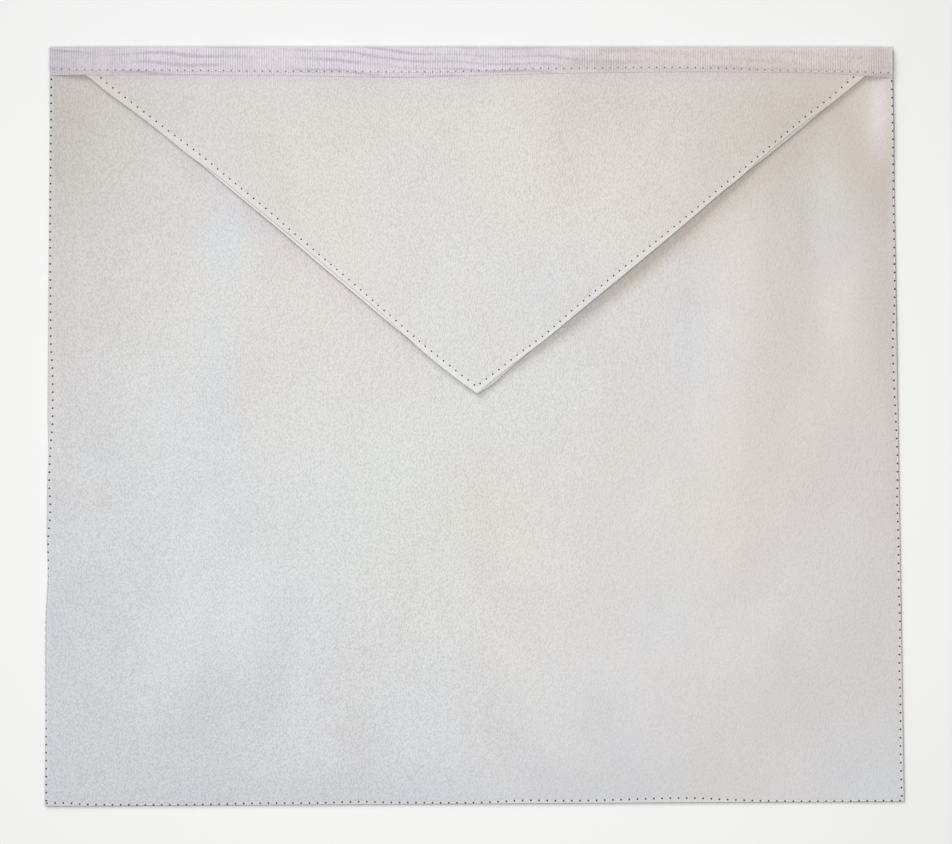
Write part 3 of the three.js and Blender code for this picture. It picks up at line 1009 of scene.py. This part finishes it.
def skin_tints_and_painted_light(finish, colour):
    """The hide's tone, patchy at random, with a painted light cast that makes it creamier to the
    upper right and cooler to the lower left, and painted shade, light and reflection in patches.
    """
    across, up = finish.along("X"), finish.along("Y")
    clouds = finish.noise(finish.place((1, 0.6, 1)), CLOUDS, 2)
    # The slope across and up is a painted warm and cool light cast, and the clouds are the hide's
    # own random tone
    warmth = 0.5 + across / CREAM_ACROSS + up / CREAM_UP + (clouds - 0.5) * 0.8
    tint = finish.blend(tinted(colour, COOL), tinted(colour, CREAM), finish.between(warmth, 0, 1))
    spots = finish.between(finish.noise(finish.place((1, 0.7, 1)), SPOTS, 2), 0.35, 0.65)
    tint = finish.blend(tint, SPOTTED, spots, "MULTIPLY")
    rosy = finish.between(finish.noise(finish.place((1, 0.8, 1)), ROSY_SPOTS, 3), 0.38, 0.6)
    tint = finish.blend(tint, ROSY, rosy, "MULTIPLY")
    for patch in TONED_PATCHES:
        middle, reach = (tuple(mm * MM for mm in patch[key]) for key in ("middle", "reach"))
        turn = math.radians(patch.get("turn", 0))
        share = finish.patch(middle, reach, (clouds - 0.5) * 0.5, turn) * patch["share"]
        tint = finish.blend(tint, patch["tone"], share, "MULTIPLY")
    # The ribbon's painted lilac reflection on the leather just below its lower edge
    below = WAIST - RIBBON_FRONT
    ribbon_reflection = finish.between(up, below - CAST_BELOW, below + CAST_ABOVE)
    return finish.blend(tint, LILAC, ribbon_reflection, "MULTIPLY")


def grain_finish(settings):
    """White leather: satin, with fine upright grain that grows fainter to the right, and painted
    shade in the grain's hollows.
    """
    finish = Finish("white_grain_leather")
    upright = finish.place(GRAIN_STRETCH, GRAIN_TURN)
    pebbles = finish.add(
        "ShaderNodeTexVoronoi", {"feature": "SMOOTH_F1"},
        {"Vector": upright, "Scale": 1 / settings.pebble, "Smoothness": 0.2, "Randomness": 1})
    pores = finish.noise(upright, settings.pebble * PORE_SHARE, 1, 0.5)
    drift = finish.noise(finish.place(), GRAIN_DRIFT, 2)
    lower_right = finish.along("X") - finish.along("Y") * 0.4
    fainter = finish.between(lower_right + drift * FAINT_DRIFT, FAINT_FROM, FAINT_TO)
    bold = 1 - fainter * 0.5
    grain = (pores * 0.35 + (1 - pebbles)) * bold
    margin = finish.add("ShaderNodeAttribute", {"attribute_name": "margin"}, {}, "Fac")
    skin = skin_tints_and_painted_light(finish, settings.colour)
    # Painted shade darkens the hollows between the pebbles
    hollows = finish.between(pores * 0.6 + pebbles * 0.8, 0.48, 0.95) * bold
    shaded_grain = finish.blend(skin, GRAIN_HOLLOW_SHADE, hollows, "MULTIPLY")
    pressed = finish.blend(skin, PRESSED, 1.0, "MULTIPLY")
    base = finish.blend(shaded_grain, pressed, margin * 0.5)
    rough = 0.5 + pores * 0.16
    bumps = finish.relief(grain * (1 - margin * 0.3), settings.pebble_depth)
    return finish.close(Base_Color=base, Roughness=rough, Normal=bumps, Specular_IOR_Level=0.35)


def flesh_finish(settings):
    """The hide's back: matt and finely napped."""
    finish = Finish("suede_flesh_side")
    nap = finish.noise(finish.place((1, 1, 1), math.radians(30)), NAP, 4, 0.7)
    clouds = finish.noise(finish.place(), NAP_CLOUDS, 3)
    base = finish.blend(
        shade(settings.flesh_colour, 0.95), settings.flesh_colour, nap * 0.6 + clouds * 0.4)
    return finish.close(
        Base_Color=base, Roughness=0.92 - nap * 0.1, Normal=finish.relief(nap, NAP_DEPTH),
        Specular_IOR_Level=0.15)


def cut_finish(settings):
    """A cut edge, where the fibres show in layers, darkened by painted shade into a dark line along
    the edges and between the plies.
    """
    finish = Finish("cut_leather_edge")
    layers = finish.noise(finish.place((1, 1, 5)), FIBRES, 3, 0.6)
    base = finish.blend(
        shade(settings.flesh_colour, 0.58), shade(settings.flesh_colour, 0.8), layers)
    return finish.close(
        Base_Color=base, Roughness=0.8 + layers * 0.1, Normal=finish.relief(layers, FIBRE_DEPTH),
        Specular_IOR_Level=0.2)


def hole_finish(colour, darkening):
    """The wall of a needle hole, darkened by painted shade by a share."""
    finish = Finish("needle_hole")
    mottle = finish.noise(finish.place(), HOLE_MOTTLE, 2)
    base = finish.blend(shade(colour, 1 - darkening), shade(colour, 1.1 - darkening), mottle)
    return finish.close(Base_Color=base, Roughness=0.95, Specular_IOR_Level=0.1)


def thread_finish(settings):
    """Spun thread, slightly glossy, with painted shade a little darker where its bump lies low,
    between its strands.
    """
    finish = Finish("spun_thread")
    strands = finish.noise(finish.place(), STRANDS, 2)
    base = finish.blend(shade(settings.colour, 0.93), settings.colour, strands)
    return finish.close(
        Base_Color=base, Roughness=0.55 + strands * 0.1,
        Normal=finish.relief(strands, STRAND_DEPTH), Sheen_Weight=0.2)


def ribbon_finish(settings):
    """Watered ribbon: fine upright ribs crossed by long wavering streaks and broad bands."""
    finish = Finish("watered_ribbon")
    across, up = finish.along("X"), finish.along("Y")
    blush = finish.between(across, BLUSH_START, BLUSH_FULL)
    silk = finish.blend(settings.colour, settings.blush, blush)

    sway = finish.noise(finish.place((1, 2.2, 0)), SWAY, 2)
    ripple = finish.noise(finish.place((1, 4, 0)), RIPPLE, 2)
    level = up + across * 0.05 + sway * SWAY_HEIGHT + ripple * RIPPLE_HEIGHT
    wave = finish.sine(level * (2 * math.pi / settings.streak_gap))
    fade = finish.between(finish.noise(finish.place((1, 3, 0)), STREAK_FADE, 2), 0.36, 0.6)
    streak = finish.between(wave, 0, 1) * fade * (1 - blush * 0.6)
    slanting = finish.noise(finish.place((1, 3.4, 0), math.radians(-5)), BROAD_BANDS, 1)
    banded = finish.patch((BANDS_AT, WAIST), BANDS_REACH, 0)
    band = finish.between(slanting, 0.48, 0.66) * (0.25 + banded)

    ribs = finish.sine(across * (2 * math.pi / settings.rib))
    threads = finish.noise(finish.place((1, 0.4, 1)), SILK_THREADS, 2)
    patchy = finish.noise(finish.place((1, 0.4, 0)), SILK_GLINTS, 2)
    shown = 0.15 + finish.between(patchy, 0.3, 0.62) * 0.55
    dark_ribs = (0.5 - ribs * 0.5) * shown * (1 - blush * 0.4)
    glint = finish.between(ribs, 0.2, 1) * finish.between(patchy, 0.48, 0.62)
    cloth = silk
    for tone, share in ((RIB_SHADE, dark_ribs),
                        (BETWEEN_THREADS, finish.between(threads, 0.45, 0.7)),
                        (RIB_GLINT, glint),
                        (WATERED_BAND, band * 0.9),
                        (WATERED_STREAK, streak),
                        # painted shade at the ribbon's left end
                        (SHADED_SILK_END, finish.patch((RIBBON_LOW.x, WAIST), SHADED_END_REACH, 0))):
        cloth = finish.blend(cloth, tone, share, "MULTIPLY")
    rough = 0.42 + streak * 0.18 + threads * 0.08
    bumps = finish.relief(ribs * 0.3 + threads * 0.7, SILK_DEPTH)
    return finish.close(
        Base_Color=cloth, Roughness=rough, Normal=bumps, Sheen_Weight=0.25,
        Specular_IOR_Level=0.4)


def floor_finish(settings):
    """A plain pale floor with the faintest unevenness."""
    finish = Finish("pale_floor")
    soft = finish.noise(finish.place(), FLOOR_CLOUDS, 2)
    base = finish.blend(shade(settings.floor_colour, 0.99), settings.floor_colour, soft)
    return finish.close(Base_Color=base, Roughness=0.85, Specular_IOR_Level=0.1)


# Materials that have been made, by name
FINISHES = {}


def finish_once(name, make, *settings):
    """The material of a name, made when it is first asked for."""
    if name not in FINISHES:
        FINISHES[name] = make(*settings)
    return FINISHES[name]


def deselect():
    """Leaves nothing selected for the next operator."""
    bpy.ops.object.select_all(action="DESELECT")


def flat_grid(name, across, down):
    """A grid of so many cells, its points row by row from the lower left."""
    deselect()
    bpy.ops.mesh.primitive_grid_add(x_subdivisions=across, y_subdivisions=down, size=1)
    piece = bpy.context.object
    piece.name = name
    piece.data.name = name
    return piece


def points_of(piece):
    """A piece's points as an array of rows."""
    flat = np.empty(len(piece.data.vertices) * 3, np.float32)
    piece.data.vertices.foreach_get("co", flat)
    return flat.reshape(-1, 3).astype(float)


def move_points(piece, points):
    """Puts a piece's points at new places."""
    piece.data.vertices.foreach_set("co", np.ascontiguousarray(points, np.float32).ravel())
    piece.data.update()


def modify(piece, kind, **settings):
    """Adds a modifier and applies it."""
    modifier = piece.modifiers.new(kind.title(), kind)
    for key, value in settings.items():
        setattr(modifier, key, value)
    deselect()
    piece.select_set(True)
    bpy.context.view_layer.objects.active = piece
    bpy.ops.object.modifier_apply(modifier=modifier.name)


def shade_by_angle(piece, degrees):
    """Smooth shading, apart from edges sharper than an angle."""
    deselect()
    piece.select_set(True)
    bpy.context.view_layer.objects.active = piece
    bpy.ops.object.shade_smooth_by_angle(angle=math.radians(degrees))


def graded_stops(length, cell):
    """Stops from 0 to length, close together near both ends."""
    inner = length - 2 * EDGE_STOPS[-1]
    middle = np.linspace(EDGE_STOPS[-1], length - EDGE_STOPS[-1], round(inner / cell) + 1)
    return np.concatenate([EDGE_STOPS[:-1], middle, (length - EDGE_STOPS[:-1])[::-1]])


def make_sheet(name, x, y, top, underside, materials, edge_round):
    """A closed sheet over a lattice of places, between two surfaces, with rounded edges."""
    piece = flat_grid(name, x.shape[1] - 1, x.shape[0] - 1)
    for material in materials:
        piece.data.materials.append(material)
    x, y = x.ravel(), y.ravel()
    move_points(piece, np.stack([x, y, top(x, y)], -1))
    modify(piece, "SOLIDIFY", thickness=LEATHER, offset=-1, material_offset=1,
           material_offset_rim=2)
    # The inner shell's points follow the outer ones, in the same order
    points = points_of(piece)
    points[len(x):] = np.stack([x, y, underside(x, y)], -1)
    move_points(piece, points)
    # The rounding takes the cut edge's finish, so its painted shade shows as a dark line along the
    # edges
    modify(piece, "BEVEL", width=edge_round, segments=3, limit_method="ANGLE",
           angle_limit=math.radians(ROUNDED_TURN), use_clamp_overlap=True, material=2)
    return piece


def needle_cutter(hole, depth):
    """The needle's own shape, flared where it enters: a cone with its rim drawn out."""
    deselect()
    lip = hole * NEEDLE_LIP
    bpy.ops.mesh.primitive_cone_add(
        vertices=NEEDLE_SIDES, radius1=hole * NEEDLE_TIP, radius2=hole * NEEDLE_NECK,
        depth=depth, location=(0, 0, -depth / 2))
    cutter = bpy.context.object
    bpy.ops.object.transform_apply(location=True)
    bpy.ops.object.mode_set(mode="EDIT")
    bpy.ops.mesh.select_all(action="DESELECT")
    bpy.ops.object.mode_set(mode="OBJECT")
    for face in cutter.data.polygons:
        face.select = face.normal.z > 0.9
    bpy.ops.object.mode_set(mode="EDIT")
    bpy.ops.mesh.extrude_region_move(TRANSFORM_OT_translate={"value": (0, 0, lip)})
    bpy.ops.transform.resize(value=(LIP_FLARE, LIP_FLARE, 1), center_override=(0, 0, lip))
    bpy.ops.mesh.extrude_region_move(TRANSFORM_OT_translate={"value": (0, 0, 4 * lip)})
    bpy.ops.object.mode_set(mode="OBJECT")
    return cutter


def stitch_pattern(thread, pitch, dive):
    """One stitch of two-strand thread from hole to hole, its ends diving into them."""
    deselect()
    bpy.ops.mesh.primitive_cylinder_add(
        vertices=THREAD_SIDES, radius=thread / 2, depth=pitch, rotation=(0, math.pi / 2, 0))
    stitch = bpy.context.object
    bpy.ops.object.transform_apply(rotation=True)
    bpy.ops.object.mode_set(mode="EDIT")
    for share in np.linspace(-0.5, 0.5, STITCH_RINGS)[1:-1]:
        bpy.ops.mesh.select_all(action="SELECT")
        bpy.ops.mesh.bisect(plane_co=(share * pitch, 0, 0), plane_no=(1, 0, 0))
    bpy.ops.object.mode_set(mode="OBJECT")
    points = points_of(stitch)
    along = points[:, 0] / pitch
    angle = np.arctan2(points[:, 2], points[:, 1])
    strands = 1 + STRAND_RELIEF * np.cos(2 * angle - 2 * math.pi * STRANDS_SEEN * along)
    thinner = 1 - END_THINNING * (2 * np.abs(along)) ** 6
    points[:, 1:] *= (strands * thinner)[:, None]
    points[:, 0] *= STITCH_LENGTH
    points[:, 2] -= dive * smooth_step(np.abs(along), DIVE_START, 0.5)
    move_points(stitch, points)
    return stitch


def joined_copies(name, pattern, places, directions, stretches=None, flip=False):
    """One mesh of a pattern's copies, each set at its place and turned to its direction."""
    source = points_of(pattern)
    faces = [list(face.vertices) for face in pattern.data.polygons]
    material = pattern.data.materials[0]
    smooth = pattern.data.polygons[0].use_smooth
    bpy.data.objects.remove(pattern)
    ahead = directions / np.linalg.norm(directions, axis=1, keepdims=True)
    side = np.cross((0, 0, 1), ahead)
    side /= np.linalg.norm(side, axis=1, keepdims=True)
    up = np.cross(ahead, side)
    if flip:
        side, up = -side, -up
    stretches = np.ones(len(places)) if stretches is None else stretches
    local = (source[None, :, 0, None] * stretches[:, None, None] * ahead[:, None]
             + source[None, :, 1, None] * side[:, None] + source[None, :, 2, None] * up[:, None])
    points = (places[:, None] + local).reshape(-1, 3)
    count = len(source)
    every = [[v + i * count for v in face] for i in range(len(places)) for face in faces]
    mesh = bpy.data.meshes.new(name)
    mesh.from_pydata(points.tolist(), [], every)
    mesh.materials.append(material)
    mesh.polygons.foreach_set("use_smooth", [smooth] * len(mesh.polygons))
    piece = bpy.data.objects.new(name, mesh)
    bpy.context.scene.collection.objects.link(piece)
    return piece


def punch(piece, kind, holes, height, needle, material):
    """Cuts one kind of needle hole into a piece, at places on a surface."""
    shape = NEEDLE_HOLES[kind]
    cutter = needle_cutter(needle * shape["width"], shape["depth"])
    cutter.data.materials.append(material)
    places = np.column_stack([holes, height(holes[:, 0], holes[:, 1])])
    directions = np.tile((1.0, 0, 0), (len(holes), 1))
    needles = joined_copies("needles", cutter, places, directions, flip=shape["from_below"])
    modify(piece, "BOOLEAN", object=needles, operation="DIFFERENCE", solver="MANIFOLD",
           material_mode="TRANSFER")
    bpy.data.objects.remove(needles)


def sew(name, rows, height, thread, dive, material, lift, from_below=False):
    """Stitches along rows of holes, lifted off a surface and diving into it at their ends."""
    starts, ends = [], []
    for row in rows:
        points = np.column_stack([row, height(row[:, 0], row[:, 1]) + lift])
        starts.append(points[:-1])
        ends.append(points[1:])
    starts, ends = np.concatenate(starts), np.concatenate(ends)
    steps = ends - starts
    lengths = np.linalg.norm(steps, axis=1)
    pitch = float(np.mean(lengths))
    pattern = stitch_pattern(thread, pitch, dive)
    pattern.data.materials.append(material)
    for face in pattern.data.polygons:
        face.use_smooth = True
    return joined_copies(
        name, pattern, (starts + ends) / 2, steps, lengths / pitch, from_below)


def tint_margin(piece, values):
    """Stores how far each point lies in the pressed margin outside a stitch row."""
    layer = piece.data.attributes.new("margin", "FLOAT", "POINT")
    layer.data.foreach_set("value", np.ascontiguousarray(values, np.float32))


def panel_lattice():
    """Places over the panel, row by row from the hem up, closer together near its edges."""
    across = graded_stops(HEM_WIDTH, PANEL_CELL) / HEM_WIDTH
    upward = graded_stops(LENGTH, PANEL_CELL) / LENGTH
    share, rise = np.meshgrid(across, upward)
    foot = hem_line(PANEL_LOW.x + share * HEM_WIDTH)
    y = foot + (TUCKED_TOP - foot) * rise
    left, right = side_left(y), side_right(y)
    return left + (right - left) * share, y


def panel_row_distance(x, y):
    """Distance from places to the nearest stitch row of the panel."""
    distances = [row_distance(x, y, path) for path in (left_row(), right_row(), hem_row())]
    return np.minimum.reduce(distances)


def leather_materials(leather):
    """The finishes of the grain side, the flesh side and the cut edge."""
    return [
        finish_once("grain", grain_finish, leather),
        finish_once("flesh", flesh_finish, leather),
        finish_once("cut", cut_finish, leather),
    ]


def build_panel():
    """The apron's body, one ply of leather, punched along its sides and hem."""
    scene = bpy.context.scene
    leather, stitching = scene.apron_leather, scene.apron_stitching

    def top(x, y):
        return panel_top(x, y) - leather.groove * line_dip(panel_row_distance(x, y), GROOVE_REACH)

    def underside(x, y):
        deepest = stitching.thread + PINCH_SPARE
        return panel_underside(x, y) + deepest * line_dip(panel_row_distance(x, y), PINCH_REACH)

    x, y = panel_lattice()
    materials = leather_materials(leather)
    piece = make_sheet("panel_leather", x, y, top, underside, materials, leather.edge_round)
    holes = np.concatenate(panel_rows(stitching))
    hole = finish_once("hole", hole_finish, leather.colour, LEATHER_HOLE_SHADE)
    punch(piece, "panel", holes, top, stitching.hole, hole)
    punch(piece, "panel_under", holes, underside, stitching.hole, hole)
    points = points_of(piece)
    distance = panel_row_distance(points[:, 0], points[:, 1])
    tint_margin(piece, PRESSED_SHARE * line_dip(distance, PRESSED_REACH))
    shade_by_angle(piece, LEATHER_CREASE)
    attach(piece, "root")
    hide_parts("apron_panel")


def flap_lattice(shown, cell, rows):
    """Places over a flap ply, column by column from its cut edge up to its tucked top."""
    shares = np.linspace(0, 1, OUTLINE_POINTS)
    left = CUT_LEFT.at(shares, shown=shown)
    right = CUT_RIGHT.at(shares, shown=shown)
    tip = (left[-1] + right[-1]) / 2
    tip[1] = min(left[-1, 1], right[-1, 1])
    outline = np.vstack([left[:-1], tip[None], right[-2::-1]])
    halves = []
    for start, end in ((outline[0, 0], tip[0]), (tip[0], outline[-1, 0])):
        halves.append(np.linspace(start, end, round((end - start) / cell) + 1))
    columns = np.concatenate([halves[0][:-1], halves[1]])
    steep = CUT_LEFT.length / abs(CUT_LEFT.run[0])
    low = np.interp(columns, outline[:, 0], outline[:, 1])
    fine = EDGE_STOPS * steep
    share = np.linspace(0, 1, rows)[1:]
    y = [low + step for step in fine]
    y += [low + fine[-1] + (TUCKED_TOP - low - fine[-1]) * s for s in share]
    return np.tile(columns, (len(y), 1)), np.array(y)


def flap_row_distance(x, y):
    """Distance from places to the nearer stitch row of the flap, and how far outside it."""
    nearest = np.full_like(x, 1.0)
    outside = np.zeros_like(x)
    for edge, rows in ((CUT_LEFT, FLAP_LEFT_ROW), (CUT_RIGHT, FLAP_RIGHT_ROW)):
        share, inside = edge.measure(x, y)
        inset = table_value(rows, "inset", np.clip(share, 0, 1)) * MM
        distance = inside - inset
        nearest = np.minimum(nearest, np.abs(distance))
        outside = np.maximum(outside, smooth_step(-distance, MARGIN_START, MARGIN_FULL))
    return nearest, outside


def build_flap():
    """The flap's lining and its face, which is punched along its cut edges."""
    scene = bpy.context.scene
    leather, stitching = scene.apron_leather, scene.apron_stitching
    grain, flesh, cut = leather_materials(leather)
    hole = finish_once("hole", hole_finish, leather.colour, LEATHER_HOLE_SHADE)
    holes = np.concatenate(flap_rows(stitching))

    def lining_top(x, y):
        return lining_underside(x, y) + LINING

    x, y = flap_lattice(1, LINING_CELL, LINING_ROWS)
    lining = make_sheet("flap_lining_leather", x, y, lining_top, lining_underside,
                        [flesh, flesh, cut], leather.edge_round)
    punch(lining, "lining", holes, lining_top, stitching.hole, hole)
    shade_by_angle(lining, LEATHER_CREASE)

    def top(x, y):
        nearest = flap_row_distance(x, y)[0]
        return face_top(x, y) - leather.groove * line_dip(nearest, GROOVE_REACH)

    x, y = flap_lattice(0, FACE_CELL, FACE_ROWS)
    face = make_sheet("flap_face_leather", x, y, top, face_underside, [grain, flesh, cut],
                      leather.edge_round)
    punch(face, "face", holes, top, stitching.hole, hole)
    points = points_of(face)
    tint_margin(face, flap_row_distance(points[:, 0], points[:, 1])[1])
    shade_by_angle(face, LEATHER_CREASE)

    for piece, node, slot in ((lining, "flap_lining", "lining"), (face, "flap_face", "leather")):
        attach(piece, "root")
        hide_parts(node)


def ribbon_lattice(settings):
    """Points over the ribbon's outside: front leaf from its lower edge, fold, then back leaf."""
    ribs = round(WAIST_WIDTH / settings.rib)
    x = np.linspace(RIBBON_LOW.x, RIBBON_HIGH.x, ribs * RIB_COLUMNS + 1)
    rise = settings.rib_rise * (1 + np.cos(2 * math.pi * ribs * np.linspace(0, 1, len(x)))) / 2
    edge, height = ribbon_edge(x), ribbon_height(x)
    bend = WAIST - FOLD_ROUND
    rows = []
    for share in FRONT_STOPS:
        y = edge + (bend - edge) * share
        rows.append((y, ribbon_top(x, y, settings) - settings.rib_rise + rise))
    for angle in np.linspace(math.pi / 2, -math.pi / 2, FOLD_STEPS)[1:-1]:
        inset = settings.rib_rise - rise
        y = bend + (FOLD_ROUND - inset) * math.cos(angle)
        rows.append((y, height / 2 + (height / 2 - inset) * math.sin(angle)))
    for share in BACK_STOPS:
        y = bend + (RIBBON_LOW.y - bend) * share + 0 * x
        rows.append((y, settings.rib_rise - rise))
    return np.stack([np.stack([x, y, z], -1) for y, z in rows])


def build_ribbon():
    """The watered ribbon, folded over the waist edge and punched along its stitch row."""
    scene = bpy.context.scene
    ribbon, stitching = scene.apron_ribbon, scene.apron_stitching
    lattice = ribbon_lattice(ribbon)
    piece = flat_grid("watered_ribbon", lattice.shape[1] - 1, lattice.shape[0] - 1)
    piece.data.materials.append(finish_once("ribbon", ribbon_finish, ribbon))
    move_points(piece, lattice.reshape(-1, 3))
    thin = piece.vertex_groups.new(name="thin")
    columns = lattice.shape[1]
    for row in range(lattice.shape[0]):
        weight = EDGE_WEIGHTS[min(row, len(EDGE_WEIGHTS) - 1)]
        thin.add(list(range(row * columns, (row + 1) * columns)), weight, "REPLACE")
    modify(piece, "SOLIDIFY", thickness=RIBBON * CLOTH_SHARE, offset=-1, vertex_group="thin",
           thickness_vertex_group=ribbon.edge_thickness / RIBBON)
    holes = ribbon_row(stitching)
    hole = finish_once("ribbon_hole", hole_finish, ribbon.colour, RIBBON_HOLE_SHADE)
    punch(piece, "ribbon", holes, lambda x, y: ribbon_top(x, y, ribbon), stitching.hole, hole)
    punch(piece, "ribbon_under", holes, ribbon_back, stitching.hole, hole)
    shade_by_angle(piece, RIBBON_CREASE)
    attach(piece, "root")
    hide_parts("waist_ribbon")


def build_stitches():
    """The stitches of the flap, the panel and the ribbon, the last two also underneath."""
    scene = bpy.context.scene
    leather, stitching, ribbon = scene.apron_leather, scene.apron_stitching, scene.apron_ribbon
    twist = finish_once("thread", thread_finish, stitching)
    thread = stitching.thread
    on_leather = thread * ON_LEATHER - leather.groove
    panel, waist = panel_rows(stitching), [ribbon_row(stitching)]

    flap = sew("flap_stitches", flap_rows(stitching), face_top, thread, LEATHER_DIVE, twist,
               on_leather)
    over = sew("panel_stitches", panel, panel_top, thread, LEATHER_DIVE, twist, on_leather)
    under = sew("panel_stitches_under", panel, panel_underside, thread, UNDER_DIVE, twist,
                thread * UNDER_LEATHER, from_below=True)
    front = sew("ribbon_stitches", waist, lambda x, y: ribbon_top(x, y, ribbon), thread,
                RIBBON_DIVE, twist, thread * ON_RIBBON)
    back = sew("ribbon_stitches_under", waist, ribbon_back, thread, UNDER_DIVE, twist,
               UNDER_RIBBON * thread, from_below=True)
    for piece, slot in ((flap, "leather"), (over, "leather"), (under, "leather"),
                        (front, "ribbon"), (back, "ribbon")):
        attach(piece, "root")


# Stage: the floor lies just under the apron, and lens and sensor are in millimetres
FLOOR_SIZE = 4
FLOOR_DROP = 0.1 * MM
KEY_COLOUR = (0.925, 0.965, 1)
SKY_COLOUR = (1, 0.955, 0.905)
SOFT_BOX_PLACE = (-40 * MM, 10 * MM, 650 * MM)
SOFT_BOX_SIZE = 240 * MM
LENS = 135
SENSOR = 36
VIEW_PLANE = 3 * MM
VIEW_MIDDLE = (0.7 * MM, 2.3 * MM)


def build_stage():
    """Floor, soft light and the camera straight above."""
    scene = bpy.context.scene
    settings = scene.apron_stage
    deselect()
    bpy.ops.mesh.primitive_plane_add(size=FLOOR_SIZE, location=(0, 0, -FLOOR_DROP))
    floor = bpy.context.object
    floor.name = "floor"
    bpy.ops.object.transform_apply(location=True)
    floor.data.materials.append(floor_finish(settings))

    bpy.ops.object.light_add(type="SUN", location=(0, 0, 1))
    key = bpy.context.object
    key.name = "key_light"
    key.data.energy = settings.key
    key.data.angle = settings.key_size
    key.data.color = KEY_COLOUR
    key.rotation_euler = (0, math.pi / 2 - settings.key_height, settings.key_side)

    bpy.ops.object.light_add(type="AREA", location=SOFT_BOX_PLACE)
    overhead = bpy.context.object
    overhead.name = "overhead_soft_box"
    overhead.data.energy = settings.overhead
    overhead.data.shape = "DISK"
    overhead.data.size = SOFT_BOX_SIZE
    overhead.visible_camera = False

    world = bpy.data.worlds.new("soft_sky")
    world.use_nodes = True
    sky = world.node_tree.nodes["Background"]
    sky.inputs["Color"].default_value = opaque(SKY_COLOUR)
    sky.inputs["Strength"].default_value = settings.sky
    scene.world = world
    scene.view_settings.view_transform = "Standard"

    height = VIEW_PLANE + settings.view_width * LENS / SENSOR
    bpy.ops.object.camera_add(location=(*VIEW_MIDDLE, height), rotation=(0, 0, 0))
    camera = bpy.context.object
    camera.name = "camera_above"
    camera.data.lens = LENS
    camera.data.sensor_width = SENSOR
    camera.data.clip_end = 10
    scene.camera = camera


class APRON_OT_stage(bpy.types.Operator):
    """Make the floor, the lights and the camera"""

    bl_idname = "apron.stage"
    bl_label = "Stage"

    def execute(self, context):
        build_stage()
        return {"FINISHED"}


class APRON_OT_panel(bpy.types.Operator):
    """Make the leather panel"""

    bl_idname = "apron.panel"
    bl_label = "Panel"

    def execute(self, context):
        build_panel()
        return {"FINISHED"}


class APRON_OT_flap(bpy.types.Operator):
    """Make the flap's two plies"""

    bl_idname = "apron.flap"
    bl_label = "Flap"

    def execute(self, context):
        build_flap()
        return {"FINISHED"}


class APRON_OT_ribbon(bpy.types.Operator):
    """Make the watered ribbon over the waist edge"""

    bl_idname = "apron.ribbon"
    bl_label = "Ribbon"

    def execute(self, context):
        build_ribbon()
        return {"FINISHED"}


class APRON_OT_stitches(bpy.types.Operator):
    """Sew the stitches along every row of holes"""

    bl_idname = "apron.stitches"
    bl_label = "Stitches"

    def execute(self, context):
        build_stitches()
        return {"FINISHED"}


SETTINGS = {
    "apron_leather": ApronLeather,
    "apron_stitching": ApronStitching,
    "apron_ribbon": ApronRibbon,
    "apron_stage": ApronStage,
}
STEPS = (APRON_OT_stage, APRON_OT_panel, APRON_OT_flap, APRON_OT_ribbon, APRON_OT_stitches)


class APRON_PT_sidebar(bpy.types.Panel):
    """Sizes, colours and building steps of the apron"""

    bl_idname = "APRON_PT_sidebar"
    bl_label = "Lodge Apron"
    bl_space_type = "VIEW_3D"
    bl_region_type = "UI"
    bl_category = "Apron"

    def draw(self, context):
        for step in STEPS:
            self.layout.operator(step.bl_idname)
        for name, group in SETTINGS.items():
            box = self.layout.box()
            box.label(text=group.__doc__)
            for key in group.__annotations__:
                box.prop(getattr(context.scene, name), key)


def register():
    """Adds the settings, the steps and the sidebar to Blender."""
    for group in (*SETTINGS.values(), *STEPS, APRON_PT_sidebar):
        bpy.utils.register_class(group)
    for name, group in SETTINGS.items():
        setattr(bpy.types.Scene, name, bpy.props.PointerProperty(type=group))


def unregister():
    """Takes them out again."""
    for name in SETTINGS:
        delattr(bpy.types.Scene, name)
    for group in (APRON_PT_sidebar, *STEPS[::-1], *SETTINGS.values()):
        bpy.utils.unregister_class(group)


def main():
    """Builds the whole scene."""
    register()
    bpy.ops.apron.stage()
    bpy.ops.apron.panel()
    bpy.ops.apron.flap()
    bpy.ops.apron.ribbon()
    bpy.ops.apron.stitches()


if __name__ == "__main__":
    main()
